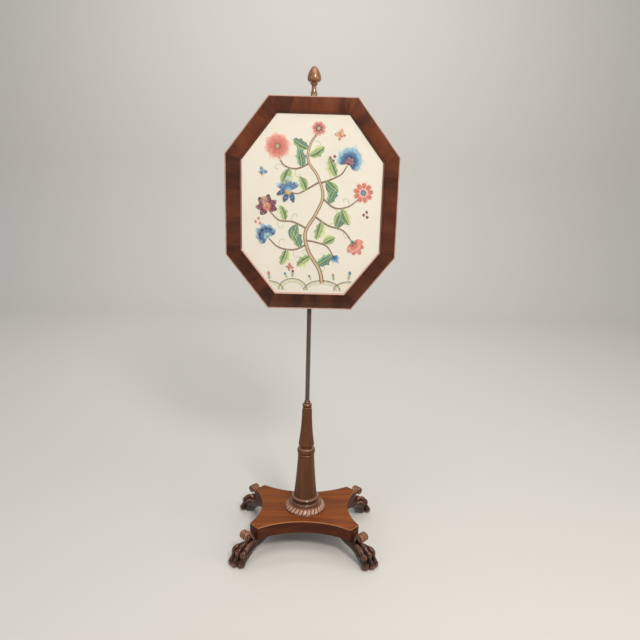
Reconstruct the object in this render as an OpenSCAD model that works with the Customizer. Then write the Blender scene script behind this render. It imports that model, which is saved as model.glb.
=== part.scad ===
// Pole fire screen: an octagonal needlework panel that slides on a mahogany pole,
// carried by a turned column on a platform with four carved paw feet.
// Millimetres, +Z up, front towards -Y. The origin is on the floor below the pole.

/* [Platform] */
// Width of the platform, left to right
platform_w = 340; // [280:1:420]
// Depth of the platform, front to back
platform_d = 262; // [230:1:340]
// Thickness of the platform
platform_t = 40; // [20:0.5:60]
// Length cut off each corner, along each side
corner_cut = 27; // [20:0.5:34]
// Depth of the hollow in the left and right sides
side_hollow = 30; // [5:0.5:45]
// Depth of the hollow in the front and back
front_hollow = 42; // [5:0.5:50]

/* [Feet] */
// Height of the feet, from the floor to the platform
foot_h = 73; // [66:0.5:90]
// How far the toes reach out from the corner of the platform
toe_reach = 77; // [70:0.5:90]
// Width of the paw across its toes
paw_w = 60; // [52:0.5:66]
// Half width of the leg where it is let in under the platform
leg_half = 17; // [12:0.5:19]
// Number of toes on a paw
toes = 3; // [2:1:4]
// Width of the reeded scroll at its roll
scroll_w = 31; // [20:0.5:38]
// Radius of the scroll's roll, to the middle of its strip
scroll_r = 11; // [9:0.5:14]
// Number of reeds on the scroll
reeds = 5; // [3:1:7]
// Diameter of the dowels that hold the feet
dowel_d = 9; // [5:0.5:12]

/* [Gadrooned collar] */
// Height of the collar under the column
collar_h = 18; // [12:0.5:26]
// Radius of the collar where it meets the platform
collar_r = 66; // [56:0.5:80]
// Radius of the collar's top
collar_top_r = 50; // [47:0.5:54]
// Number of carved lobes round the collar
lobes = 28; // [16:1:48]

/* [Column] */
// Radius of the bottom ring of the column
base_ring_r = 44.5; // [41:0.5:47]
// Height of the bottom ring
base_ring_h = 6; // [4:0.5:9]
// Height of the cove above the bottom ring
cove_h = 9; // [6:0.5:14]
// Height of the large ring at the foot of the shaft
foot_ring_h = 12; // [8:0.5:14]
// Height of the lower shaft
low_shaft_h = 139; // [90:1:200]
// Radius of the lower shaft at its foot
low_shaft_r = 35; // [31:0.5:38]
// Radius of the lower shaft at its top
low_shaft_top_r = 26.2; // [24:0.2:29]
// Height of the thin ring in the middle of the column
thin_ring_h = 8.5; // [6:0.5:14]
// Height of the thick ring above it
thick_ring_h = 20.5; // [14:0.5:24]
// Height of the neck above the thick ring
neck_h = 6; // [4:0.5:10]
// Height of the lip under the upper shaft
lip_h = 6; // [4:0.5:9]
// Height of the upper shaft
up_shaft_h = 117; // [80:1:170]
// Radius of the upper shaft at its rounded foot
up_shaft_r = 25.2; // [23:0.2:28]
// Radius of the upper shaft at its top
up_shaft_top_r = 15.8; // [13.5:0.2:18]
// Height of the rings at the column's top
cap_h = 32; // [26:1:44]
// Height of the fillet at the foot of the lower shaft
fillet_h = 2; // [1:0.5:4]
// How far the thin ring stands out from the shaft below it
thin_ring_out = 0.5; // [0.3:0.1:2.5]
// How far the thick ring stands out from it
thick_ring_out = 2.4; // [1.5:0.1:4]
// How far the neck draws in from it
neck_in = 6.4; // [4:0.1:7]
// How far the lip stands out from the neck
lip_out = 1.6; // [1:0.1:2.5]
// How far the column's top ring stands out round the pole
cap_lip = 2; // [1.2:0.1:3]
// Width of the dark quirk cut between two mouldings
quirk = 1; // [0.6:0.1:1.6]

/* [Pole] */
// Diameter of the pole
pole_d = 13.6; // [12:0.2:16]
// Length of the pole above the column
pole_l = 908; // [850:1:1100]
// Depth of the pole's socket in the column
socket_l = 60; // [40:1:90]
// Height of the pole's joint above the column
joint_up = 227; // [150:1:260]
// Diameter of the brass stud in the pole's joint
stud_d = 5; // [3:0.5:7]
// Length of the brass stud
stud_l = 44; // [24:1:60]

/* [Finial] */
// Height of the finial
finial_h = 71; // [60:1:90]
// Radius of the finial's foot
finial_foot_r = 10.5; // [9.5:0.25:13]
// Radius of the finial's neck
finial_neck_r = 6.2; // [4.8:0.1:7]
// Radius of the ring under the bud
finial_ring_r = 11.2; // [8.5:0.1:12.5]
// Radius of the bud at its widest
bud_r = 19.2; // [16:0.2:24]
// Diameter of the finial's brass pin
finial_pin_d = 6; // [4:0.5:7]
// Length of the finial's pin below the finial
finial_pin_l = 24; // [15:1:40]

/* [Panel] */
// Width of the panel
panel_w = 490; // [420:1:560]
// Height of the panel
panel_h = 595; // [500:1:680]
// Length of the panel's top and bottom edges
panel_top_l = 246; // [210:1:290]
// Length of the panel's upright edges
panel_side_l = 283; // [240:1:330]
// Width of the frame's rails
rail_w = 47; // [38:0.5:60]
// Thickness of the frame
frame_t = 23; // [20:0.5:32]
// Distance from the pole's centre to the frame's back
frame_back = 15; // [13:0.5:22]
// Diameter of the bead round the frame's edge
bead_d = 3.2; // [2:0.1:5]
// Width of the hollow moulding at the sight edge
sight_moulding = 8; // [5:0.5:12]
// Depth of the needlework below the frame's front
sight_depth = 8; // [6:0.5:11]
// Width of the rebate behind the sight edge
rebate = 7; // [4:0.5:9]
// Thickness of the needlework
cloth_t = 0.8; // [0.5:0.1:1.5]
// Thickness of the board that the needlework is stretched on
stretcher_t = 8; // [5:0.5:9]
// Thickness of the back board
back_board_t = 4; // [2.5:0.5:5]
// Diameter of the pins that hold the back board
pin_d = 1.2; // [0.8:0.1:1.8]
// Length of those pins
pin_l = 14; // [8:1:20]

/* [Brass fittings] */
// Outer diameter of the tubes that run on the pole
tube_d = 18; // [17:0.2:22]
// Length of each tube
tube_l = 30; // [24:1:45]
// How far the upper tube stands above the frame
tube_rise = 9.2; // [6:0.2:14]
// Width of the fitting's plates
plate_w = 44; // [34:1:60]
// Height of the plates
plate_h = 32; // [26:1:38]
// Thickness of the plates
plate_t = 2.5; // [2:0.1:3.5]
// Diameter of the fittings' wood screws
screw_d = 3.2; // [2.5:0.1:4]
// Length of the wood screws
screw_l = 14; // [10:1:17]
// Diameter of the clamp screw's shank
clamp_d = 5; // [4:0.5:5.5]
// Length of the boss that the clamp screw turns in
boss_l = 9; // [7:0.5:14]
// Diameter of the boss
boss_d = 12; // [11:0.5:15]
// Diameter of the clamp screw's head
head_d = 20; // [16:1:28]

/* [Fits] */
// Clearance round a shaft that turns or slides
run_fit = 0.05; // [0.02:0.01:0.1]
// Gap between a glued piece and its hole
glue_fit = 0.05; // [0.02:0.01:0.1]
// Gap round a board that lies loose in the frame
board_fit = 0.8; // [0.4:0.1:0.9]

/* [Hidden] */

fine = 96;
mid = 48;
eps = 0.01;

// Heights on the stand
platform_top = foot_h + platform_t;
column_z = platform_top + collar_h;
cove_z = column_z + base_ring_h;
foot_ring_z = cove_z + cove_h;
low_shaft_z = foot_ring_z + foot_ring_h;
thin_ring_z = low_shaft_z + low_shaft_h;
thick_ring_z = thin_ring_z + thin_ring_h;
neck_z = thick_ring_z + thick_ring_h;
lip_z = neck_z + neck_h;
up_shaft_z = lip_z + lip_h;
cap_z = up_shaft_z + up_shaft_h;
column_top = cap_z + cap_h;
pole_r = pole_d / 2;
joint_z = column_top + joint_up;
pole_top = column_top + pole_l;
socket_r = pole_r + run_fit;
tenon_r = 0.36 * base_ring_r;
wedge_t = 5;
wedge_tip_t = 1.2;
wedge_l = 0.8 * platform_t;
wedge_inset = 1.5;
end_gap = 0.3;
finial_gap = 1;

// Corners of the platform: the middle of each canted face, and its half width
cant_x = platform_w / 2 - corner_cut / 2;
cant_y = platform_d / 2 - corner_cut / 2;

// Heights on the panel
panel_top = pole_top - finial_gap - tube_rise;
panel_z = panel_top - panel_h / 2;
panel_bottom = panel_z - panel_h / 2;

// The octagon: half sizes and the unit normal of its slanted sides
hw = panel_w / 2;
hh = panel_h / 2;
tx = panel_top_l / 2;
sz = panel_side_l / 2;
slant_l = norm([hw - tx, hh - sz]);
nx = (hh - sz) / slant_l;
nz = (hw - tx) / slant_l;
slant_c = nx * tx + nz * hh;

// Fittings on the pole
tube_r = tube_d / 2;
upper_tube_z = panel_top + tube_rise - tube_l;
plate_inset = 4;
plate_margin = 7;
web_t = 8;
lower_tube_z = panel_bottom + 1.5 * plate_inset;
upper_plate_z = panel_top - plate_inset - plate_h;
lower_plate_z = panel_bottom + plate_inset;
plate_y = -frame_back + plate_t;
clamp_z = lower_tube_z + tube_l / 2;
pad_d = clamp_d + 2;
pad_l = 4;
clamp_travel = 1.2;
pad_y = pole_r + run_fit;
shank_y = pad_y + pad_l;
seat_y = shank_y + clamp_travel + end_gap;
boss_y = tube_r + boss_l;

// Solids made from rings

// A closed skin over a list of rings that all have as many points. Its ends are closed with
// the outlines in ends, each a list of places in a ring, or with the whole ring
module skin(rings, ends = undef) {
  n = len(rings[0]);
  outlines = is_undef(ends) ? [[for (j = [0 : n - 1]) j]] : ends;
  last = len(rings) - 1;
  points = [for (ring = rings) each ring];
  sides = [for (i = [0 : last - 1], j = [0 : n - 1])
             let (a = i * n + j, b = i * n + (j + 1) % n)
             each [[a, a + n, b], [a + n, b + n, b]]];
  last_cap = [for (outline = outlines) [for (k = [len(outline) - 1 : -1 : 0]) last * n + outline[k]]];
  polyhedron(points, concat(outlines, sides, last_cap), convexity = 6);
}

// A ring of a ball-cornered oval at distance s along a foot, from height z0 to z1
function oval_ring(s, half, z0, z1, n = 24) =
  [for (i = [0 : n - 1])
     let (a = 360 * i / n, c = cos(a), d = sin(a))
     [s, half * sign(c) * pow(abs(c), 0.8), (z0 + z1) / 2 + (z1 - z0) / 2 * sign(d) * pow(abs(d), 0.8)]];

// A cone between two points, with a radius at each
module taper(from, to, r0, r1) {
  way = to - from;
  turn = atan2(way[1], way[0]);
  tilt = atan2(norm([way[0], way[1]]), way[2]);
  translate(from) rotate([0, tilt, turn]) cylinder(r1 = r0, r2 = r1, h = norm(way), $fn = mid);
}

// Stand

module platform_outline() {
  x = platform_w / 2;
  y = platform_d / 2;
  side = y - corner_cut;
  front = x - corner_cut;
  side_r = side * side / (2 * side_hollow) + side_hollow / 2;
  front_r = front * front / (2 * front_hollow) + front_hollow / 2;
  difference() {
    polygon([[front, y], [x, side], [x, -side], [front, -y], [-front, -y], [-x, -side], [-x, side], [-front, y]]);
    for (m = [-1, 1]) {
      translate([m * (x + side_r - side_hollow), 0]) circle(r = side_r, $fn = fine);
      translate([0, m * (y + front_r - front_hollow)]) circle(r = front_r, $fn = fine);
    }
  }
}

module platform() {
  color("#8a4a20") difference() {
    translate([0, 0, foot_h]) linear_extrude(platform_t) platform_outline();
    translate([0, 0, foot_h - eps]) cylinder(r = tenon_r + glue_fit, h = platform_t + 2 * eps, $fn = fine);
    each_corner() dowels(glue_fit);
  }
}

// Puts a foot's own frame, x outwards from the canted face, at one corner or at all four
module corner(left, back) {
  mirror([left ? 1 : 0, 0, 0]) mirror([0, back ? 0 : 1, 0])
    translate([cant_x, cant_y, 0]) rotate([0, 0, 45]) children();
}

module each_corner() {
  for (left = [false, true], back = [false, true]) corner(left, back) children();
}

dowel_s = [-14, -34];
dowel_z = foot_h - 15;
dowel_l = 34;

module dowels(gap) {
  for (s = dowel_s) {
    translate([s, 0, dowel_z - gap]) cylinder(d = dowel_d + 2 * gap, h = dowel_l + 2 * gap, $fn = mid);
  }
}

// The leg and paw: heights of the top and bottom edge and half widths along the foot
leg_end = 56;
leg_top = [[-leg_end, foot_h], [2, foot_h], [15, 0.96 * foot_h], [27, 0.9 * foot_h], [38, 0.82 * foot_h],
           [48, 0.69 * foot_h], [0.74 * toe_reach, 0.54 * foot_h], [0.83 * toe_reach, 0.36 * foot_h],
           [0.9 * toe_reach, 0.2 * foot_h]];
leg_bottom = [[-leg_end, 0.88 * foot_h], [-28, 0.68 * foot_h], [-12, 0.61 * foot_h], [3, 0.54 * foot_h],
              [14, 0.43 * foot_h], [22, 0.3 * foot_h], [30, 0.16 * foot_h], [38, 0.04 * foot_h], [43, -4],
              [toe_reach, -4]];
leg_width = [[-leg_end, 0.5 * leg_half], [-44, 0.9 * leg_half], [-28, leg_half], [10, leg_half],
             [24, 0.94 * leg_half], [38, 0.31 * paw_w], [48, 0.36 * paw_w], [0.74 * toe_reach, 0.36 * paw_w],
             [0.83 * toe_reach, 0.31 * paw_w], [0.9 * toe_reach, 0.22 * paw_w]];
leg_stops = [-leg_end, -44, -28, -12, 2, 15, 22, 30, 38, 48, 57, 64, 0.89 * toe_reach];

// A toe runs from the ankle over its knuckle to a round tip; the outer toes are shorter
knuckle_s = 0.77 * toe_reach;
knuckle_z = 0.56 * foot_h;
knuckle_r = 0.145 * paw_w;
toe_tip_r = 0.165 * paw_w;
toe_pitch = (paw_w - 2 * toe_tip_r) / (toes - 1);
toe_fan = 0.9;
toe_shorter = 6;

module toe(w) {
  share = 2 * w / paw_w;
  ankle = [30, 0.3 * w, 0.86 * foot_h - knuckle_r];
  knuckle = [knuckle_s, toe_fan * w, knuckle_z];
  tip = [toe_reach - toe_tip_r - toe_shorter * share * share, w, 0.85 * toe_tip_r];
  taper(ankle, knuckle, 0.5 * knuckle_r, 0.8 * knuckle_r);
  translate(knuckle) sphere(r = knuckle_r, $fn = mid);
  taper(knuckle, tip, 0.72 * knuckle_r, 0.78 * toe_tip_r);
  translate(tip) sphere(r = toe_tip_r, $fn = mid);
}

// The scroll: its strip climbs from under the platform's edge and rolls over outwards
roll_out = 34;
roll_rise = 20;
roll = [roll_out, foot_h + roll_rise];
roll_from = 125;
roll_to = -140;
strip_start = [2, foot_h - 7];
strip_t = 8;
strip_bend = 16;
roll_in = 3.5;
reed_depth = 1.8;
roll_entry = roll + scroll_r * [cos(roll_from), sin(roll_from)];
strip_guide = roll_entry - strip_bend * [sin(roll_from), -cos(roll_from)];

function bezier(a, b, c, t) = (1 - t) * (1 - t) * a + 2 * t * (1 - t) * b + t * t * c;
function roll_angle(t) = roll_from + (roll_to - roll_from) * t;
function roll_point(t) =
  let (a = roll_angle(t), r = scroll_r - roll_in * t) roll + r * [cos(a), sin(a)];

reed_steps = 4;
steps = reed_steps * reeds;

// The strip's end as convex outlines: one for each reed and one for the flat part below them
strip_end = concat(
  [for (k = [0 : reeds - 1]) [for (j = [0 : reed_steps]) reed_steps * k + j]],
  [concat([for (k = [0 : reeds]) reed_steps * k], [steps + 1, steps + 2])]);

// One ring of the strip at point p, square to direction d, with reeds on its outer side
function strip_ring(p, d, half, t) =
  let (across = [-d[1], d[0]] / norm(d))
  concat(
    [for (j = [0 : steps])
       let (w = half * (1 - 2 * j / steps),
            crown = 1 - pow(w / half, 2),
            rise = t / 2 - reed_depth + reed_depth * sqrt(abs(sin(180 * reeds * j / steps))) + crown,
            q = p + rise * across)
       [q[0], w, q[1]]],
    [for (m = [-1, 1]) let (q = p - t / 2 * across) [q[0], m * half, q[1]]]);

climb = [for (i = [0 : 5])
           let (t = i / 6, p = bezier(strip_start, strip_guide, roll_entry, t),
                d = (1 - t) * (strip_guide - strip_start) + t * (roll_entry - strip_guide))
           strip_ring(p, d, scroll_w * (0.28 + 0.22 * t), strip_t)];
curl = [for (i = [0 : 16])
          let (t = i / 16, a = roll_angle(t))
          strip_ring(roll_point(t), [sin(a), -cos(a)], scroll_w * 0.5, strip_t - roll_in * t)];

module scroll() {
  skin(concat(climb, curl), strip_end);
  translate([roll[0], 0, roll[1]]) rotate([90, 0, 0])
    cylinder(r = scroll_r - 0.55 * strip_t, h = scroll_w + 2, center = true, $fn = mid);
}

module foot(left, back) {
  color("#7a4526") corner(left, back) difference() {
    union() {
      skin([for (s = leg_stops) oval_ring(s, lookup(s, leg_width), lookup(s, leg_bottom), lookup(s, leg_top))]);
      for (i = [0 : toes - 1]) toe((i - (toes - 1) / 2) * toe_pitch);
      scroll();
    }
    translate([-leg_end - 1, -paw_w, -foot_h]) cube([leg_end + 2 * toe_reach, 2 * paw_w, foot_h]);
    dowels(glue_fit);
  }
}

module foot_front_left() { foot(true, false); }
module foot_front_right() { foot(false, false); }
module foot_back_left() { foot(true, true); }
module foot_back_right() { foot(false, true); }

module foot_dowels() {
  color("#a9855a") each_corner() dowels(0);
}

// A turned bead: a round rim on a solid disc, half as deep as it is high unless given a depth
module bead(z, h, r, depth = undef) {
  reach = is_undef(depth) ? h / 2 : depth;
  translate([0, 0, z]) rotate_extrude($fn = fine) {
    square([r - reach, h]);
    translate([r - reach, h / 2]) scale([2 * reach / h, 1]) circle(d = h, $fn = mid);
  }
}

module disc(z, h, r) {
  translate([0, 0, z]) cylinder(r = r, h = h, $fn = fine);
}

// How hollow the two shafts are: 1 is a straight cone
shaft_bend = 1.25;
shaft_flare = 1.9;

// A turned shaft that narrows from r0 to r1 along a hollow curve
module shaft(z, h, r0, r1, bend) {
  n = 12;
  profile = [for (i = [0 : n]) let (t = i / n) [r1 + (r0 - r1) * pow(1 - t, bend), h * t]];
  translate([0, 0, z]) rotate_extrude($fn = fine) polygon(concat([[0, 0]], profile, [[0, h]]));
}

// The collar's swelling side is an arc from the plinth to the top
collar_plinth = 2;
collar_foot = [collar_r, collar_plinth];
collar_head = [collar_top_r, collar_h];
collar_chord = norm(collar_head - collar_foot);
collar_out = [collar_h - collar_plinth, collar_r - collar_top_r] / collar_chord;
collar_swell = 0.2 * collar_chord;
collar_arc_r = collar_chord * collar_chord / (8 * collar_swell) + collar_swell / 2;
collar_arc = (collar_foot + collar_head) / 2 - (collar_arc_r - collar_swell) * collar_out;
lobe_slant = 20;
groove_r = 2;

module lobe_groove() {
  middle = atan2(collar_out[1], collar_out[0]);
  translate([collar_arc[0], 0, platform_top + collar_arc[1]]) rotate([0, -middle, 0]) rotate([lobe_slant, 0, 0])
    rotate([90, 0, 0]) rotate([0, 0, -60]) rotate_extrude(angle = 120, $fn = fine)
      translate([collar_arc_r + 0.7, 0]) circle(r = groove_r, $fn = 24);
}

module collar_ring() {
  color("#8a5a38") difference() {
    translate([0, 0, platform_top]) rotate_extrude($fn = fine) difference() {
      union() {
        square([collar_r, collar_plinth]);
        intersection() {
          square([collar_r + collar_swell, collar_h]);
          union() {
            translate(collar_arc) circle(r = collar_arc_r, $fn = fine);
            square([collar_arc[0], collar_h]);
          }
        }
      }
      square([2 * (tenon_r + glue_fit), 3 * collar_h], center = true);
    }
    for (i = [0 : lobes - 1]) rotate([0, 0, 360 * i / lobes]) lobe_groove();
  }
}

module column() {
  ring_r = base_ring_r;
  shaft_r = low_shaft_top_r;
  color("#6e3f22") difference() {
    union() {
      disc(foot_h, collar_h + platform_t, tenon_r);
      bead(column_z, base_ring_h, ring_r);
      difference() {
        disc(cove_z, cove_h, 0.955 * ring_r);
        translate([0, 0, cove_z + 0.55 * cove_h]) rotate_extrude($fn = fine)
          translate([ring_r + 0.11 * cove_h, 0]) circle(r = cove_h / 2, $fn = mid);
      }
      bead(foot_ring_z, foot_ring_h, ring_r);
      disc(low_shaft_z, fillet_h, low_shaft_r + 1.4 * fillet_h);
      shaft(low_shaft_z, low_shaft_h, low_shaft_r + fillet_h, shaft_r, shaft_bend);
      bead(thin_ring_z + quirk, thin_ring_h - quirk, shaft_r + thin_ring_out);
      disc(thin_ring_z, thin_ring_h, shaft_r - quirk);
      bead(thick_ring_z, thick_ring_h, shaft_r + thick_ring_out, thick_ring_h / 4);
      disc(neck_z, neck_h, shaft_r - neck_in);
      bead(lip_z, lip_h / 2, shaft_r - neck_in + lip_out);
      bead(up_shaft_z - lip_h / 2, lip_h, up_shaft_r);
      shaft(up_shaft_z, up_shaft_h, up_shaft_r, up_shaft_top_r, shaft_flare);
      cap_rings();
    }
    translate([0, 0, column_top - socket_l]) cylinder(r = socket_r, h = socket_l + 1, $fn = fine);
    wedge(glue_fit);
  }
}

// The rings at the column's top, in shares of the cap's height and the shaft's radius: a ring,
// a swelling torus, a smaller ring, and a bead round the pole
module cap_rings() {
  disc(cap_z, 0.4 * cap_h, 0.84 * up_shaft_top_r);
  bead(cap_z + 0.07 * cap_h, 0.195 * cap_h, 0.915 * up_shaft_top_r);
  bead(cap_z + 0.3 * cap_h, 0.36 * cap_h, 0.95 * up_shaft_top_r, 0.14 * cap_h);
  disc(cap_z + 0.6 * cap_h, 0.15 * cap_h, 0.59 * up_shaft_top_r);
  bead(cap_z + 0.69 * cap_h, 0.14 * cap_h, 0.66 * up_shaft_top_r);
  disc(cap_z + 0.8 * cap_h, 0.1 * cap_h, pole_r + 0.5 * cap_lip);
  bead(cap_z + 0.84 * cap_h, 0.16 * cap_h, pole_r + cap_lip);
}

// The wedge driven up into the sawn end of the column's tenon
module wedge(gap) {
  low = wedge_t / 2 + gap;
  high = wedge_tip_t / 2 + gap;
  translate([0, tenon_r - 1, foot_h]) rotate([90, 0, 0]) linear_extrude(2 * tenon_r - 2)
    polygon([[-low, 0], [low, 0], [high, wedge_l + gap], [-high, wedge_l + gap]]);
}

module column_wedge() {
  color("#c9a06c") intersection() {
    wedge(0);
    disc(foot_h, platform_t, tenon_r - wedge_inset);
  }
}

// Pole and finial

// The reeded band below the pole's joint: grooves round the pole
reed_band = 19;
reed_grooves = 4;
reed_groove_r = 1.3;

module reed_groove(i) {
  z = joint_z - reed_groove_r - i * (reed_band - 2 * reed_groove_r) / (reed_grooves - 1);
  translate([0, 0, z]) rotate_extrude($fn = fine)
    translate([pole_r + 0.4 * reed_groove_r, 0]) circle(r = reed_groove_r, $fn = 24);
}

module pole_lower() {
  bottom = column_top - socket_l + end_gap;
  color("#3d2a1e") difference() {
    disc(bottom, joint_z - bottom, pole_r);
    for (i = [0 : reed_grooves - 1]) reed_groove(i);
    translate([0, 0, joint_z - stud_l / 2]) cylinder(d = stud_d + 2 * glue_fit, h = stud_l, $fn = mid);
  }
}

module pole_stud() {
  color("#b08d4a") translate([0, 0, joint_z - stud_l / 2 + 0.5]) cylinder(d = stud_d, h = stud_l - 1, $fn = mid);
}

module pole_upper() {
  color("#3d2a1e") difference() {
    disc(joint_z, pole_top - joint_z, pole_r);
    translate([0, 0, joint_z - 1]) cylinder(d = stud_d + 2 * glue_fit, h = stud_l / 2 + 1, $fn = mid);
    translate([0, 0, pole_top - finial_pin_l - 2])
      cylinder(d = finial_pin_d + 2 * run_fit, h = finial_pin_l + 3, $fn = mid);
  }
}

// The finial's heights above the pole, in shares of its own height
finial_foot_t = 0.03 * finial_h;
finial_neck_z = 0.23 * finial_h;
finial_ring_z = 0.31 * finial_h;
finial_ring_t = 0.063 * finial_h;
bud_z = 0.4 * finial_h;
bud_wide_z = 0.52 * finial_h;
finial_pin_up = 0.2 * finial_h;

// The stem: a foot that flares on the pole, and a hollow curve up to the ring
module finial_stem() {
  n = 8;
  flare = finial_foot_r - finial_foot_t / 2;
  curve = [for (i = [0 : n])
             let (t = i / n, swell = (0.9 * flare - finial_neck_r) * pow(1 - t, 2.2))
             [finial_neck_r + swell, finial_foot_t + t * (finial_neck_z - finial_foot_t)]];
  polygon(concat([[0, 0], [flare, 0], [flare, finial_foot_t]], curve,
                 [[1.2 * finial_neck_r, finial_ring_z], [0, finial_ring_z]]));
  translate([flare, finial_foot_t / 2]) circle(d = finial_foot_t, $fn = 24);
}

// The bud swells from its base to its widest and runs up to a blunt tip
module bud_outline() {
  n = 12;
  base = 0.72;
  bow = 1.7;
  blunt = 0.6;
  low = [for (i = [0 : n])
           let (t = i / n) [bud_r * (base + (1 - base) * sin(90 * t)), bud_z + (bud_wide_z - bud_z) * t]];
  high = [for (i = [1 : n])
            let (t = sin(90 * i / n))
            [bud_r * pow(1 - pow(t, bow), blunt), bud_wide_z + (finial_h - bud_wide_z) * t]];
  difference() {
    polygon(concat([[0, bud_z]], low, high));
    translate([0.94 * bud_r, bud_z + 0.28 * (bud_wide_z - bud_z)]) circle(d = 1.2 * quirk, $fn = 24);
  }
}

module finial() {
  color("#9a5527") difference() {
    translate([0, 0, pole_top]) rotate_extrude($fn = fine) {
      finial_stem();
      translate([0, finial_ring_z]) square([finial_ring_r - finial_ring_t / 2, finial_ring_t]);
      translate([finial_ring_r - finial_ring_t / 2, finial_ring_z + finial_ring_t / 2])
        circle(d = finial_ring_t, $fn = 24);
      translate([0, finial_ring_z]) square([0.76 * finial_ring_r, bud_z - finial_ring_z]);
      bud_outline();
    }
    translate([0, 0, pole_top - 1])
      cylinder(d = finial_pin_d + 2 * glue_fit, h = finial_pin_up + 1, $fn = mid);
  }
}

module finial_pin() {
  color("#b08d4a") translate([0, 0, pole_top - finial_pin_l])
    cylinder(d = finial_pin_d, h = finial_pin_l + finial_pin_up - end_gap, $fn = mid);
}

// Panel: drawn flat with its front up, then stood up behind the sight of the viewer

// The octagon's corners, moved inwards by an inset, clockwise from the top left
function octagon(o) =
  let (zt = hh - o, xs = hw - o, c = slant_c - o, xt = (c - nz * zt) / nx, zs = (c - nx * xs) / nz)
  [[-xt, zt], [xt, zt], [xs, zs], [xs, -zs], [xt, -zt], [-xt, -zt], [-xs, -zs], [-xs, zs]];

outer = octagon(0);

module upright() {
  translate([0, -frame_back, panel_z]) rotate([90, 0, 0]) children();
}

// Puts x along side i of the panel and y inwards from its outer edge
module along_side(i) {
  a = outer[i];
  b = outer[(i + 1) % 8];
  way = a - b;
  translate((a + b) / 2) rotate([0, 0, atan2(way[1], way[0])]) children();
}

// The rail's section: x inwards from the outer edge, y from the back to the front
module rail_section() {
  face = rail_w - sight_moulding;
  low = 1.1;
  crown = 1;
  span = (face - bead_d) / 2;
  crown_r = span * span / (2 * crown) + crown / 2;
  difference() {
    union() {
      square([rail_w, frame_t - low]);
      intersection() {
        translate([bead_d + span, frame_t - 0.3 - crown_r]) circle(r = crown_r, $fn = 360);
        square([face, frame_t]);
      }
    }
    translate([-1, frame_t - bead_d]) square([bead_d + 1, bead_d + 1]);
    translate([rail_w - rebate, -1]) square([rebate + 1, frame_t - sight_depth + 1]);
    translate([face, frame_t - 0.35 * sight_depth]) square([sight_moulding + 1, sight_depth]);
    translate([rail_w, frame_t - 0.35 * sight_depth]) circle(r = 0.62 * sight_moulding, $fn = mid);
  }
}

module bead_section() {
  r = bead_d / 2;
  translate([r, frame_t - r]) circle(r = r, $fn = 32);
  translate([r, frame_t - bead_d]) square(r);
}

// A bar along side i, cut to its mitres, with a gap left there
module mitred(i, gap = 0) {
  a = octagon(0);
  b = octagon(rail_w);
  k = (i + 1) % 8;
  shift = gap * (a[k] - a[i]) / norm(a[k] - a[i]);
  intersection() {
    along_side(i) rotate([90, 0, 90]) linear_extrude(2 * panel_h, center = true) children();
    translate([0, 0, -1]) linear_extrude(frame_t + 2)
      polygon([a[i] + shift, a[k] - shift, b[k] - shift, b[i] + shift]);
  }
}

key_l = 26;
key_w = 12;
key_t = 3;

// A key lies across the mitre at corner i, half way along it
module mitre_key(i, gap) {
  a = outer[i];
  b = octagon(rail_w - rebate)[i];
  way = b - a;
  translate(concat((a + b) / 2, [frame_t / 2 - key_t / 2 - gap])) rotate([0, 0, atan2(way[1], way[0])])
    translate([-key_w / 2 - gap, -key_l / 2 - gap, 0]) cube([key_w + 2 * gap, key_l + 2 * gap, key_t + 2 * gap]);
}

module board_pins(gap) {
  for (i = [0 : 7]) {
    along_side(i) for (x = [-0.25, 0.25]) {
      translate([x * panel_top_l, rail_w - rebate + board_fit + 4 - pin_l, board_back - pin_d / 2 - 0.05])
        rotate([-90, 0, 0]) cylinder(d = pin_d + 2 * gap, h = pin_l, $fn = 16);
    }
  }
}

// Heights above the frame's back: the cloth, its board and the back board lie in the rebate
cloth_back = frame_t - sight_depth - cloth_t;
stretcher_back = cloth_back - stretcher_t;
board_back = stretcher_back - back_board_t;

module rail(i) {
  color("#5a2f1c") upright() difference() {
    mitred(i) rail_section();
    mitre_key(i, glue_fit);
    mitre_key((i + 1) % 8, glue_fit);
    board_pins(glue_fit);
    if (i == 0 || i == 4) plates_in_panel() screw_places() cylinder(d = screw_d + 2 * glue_fit, h = screw_l, $fn = 24);
  }
}

module rail_top() { rail(0); }
module rail_top_right() { rail(1); }
module rail_right() { rail(2); }
module rail_bottom_right() { rail(3); }
module rail_bottom() { rail(4); }
module rail_bottom_left() { rail(5); }
module rail_left() { rail(6); }
module rail_top_left() { rail(7); }

module edge_beads() {
  color("#8a5636") upright() for (i = [0 : 7]) mitred(i, glue_fit) bead_section();
}

module mitre_keys() {
  color("#a9855a") upright() for (i = [0 : 7]) mitre_key(i, 0);
}

module sheet_in_rebate(back, t) {
  upright() translate([0, 0, back]) linear_extrude(t) polygon(octagon(rail_w - rebate + board_fit));
}

module needlework() {
  color("#efe6d2") sheet_in_rebate(cloth_back, cloth_t);
}

module stretcher_board() {
  color("#c8a878") sheet_in_rebate(stretcher_back, stretcher_t);
}

module back_board() {
  color("#6b3a20") sheet_in_rebate(board_back, back_board_t);
}

module back_board_pins() {
  color("#b08d4a") upright() board_pins(0);
}

// Brass fittings

// The two plates' middles on the frame's back, seen in the panel's own frame
module plates_in_panel() {
  for (z = [upper_plate_z, lower_plate_z]) translate([0, z + plate_h / 2 - panel_z, 0]) children();
}

module screw_places() {
  for (x = [-1, 1], y = [-1, 1]) {
    translate([x * (plate_w / 2 - plate_margin), y * (plate_h / 2 - plate_margin), 0]) children();
  }
}

// A wood screw with its countersunk head level with the plate's back
module wood_screw(gap) {
  head = screw_d / 2;
  translate([0, 0, -plate_t]) cylinder(d1 = 2 * screw_d + 2 * gap, d2 = screw_d + 2 * gap, h = head, $fn = 24);
  translate([0, 0, -plate_t + head]) cylinder(d = screw_d + 2 * gap, h = screw_l - head, $fn = 24);
}

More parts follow.
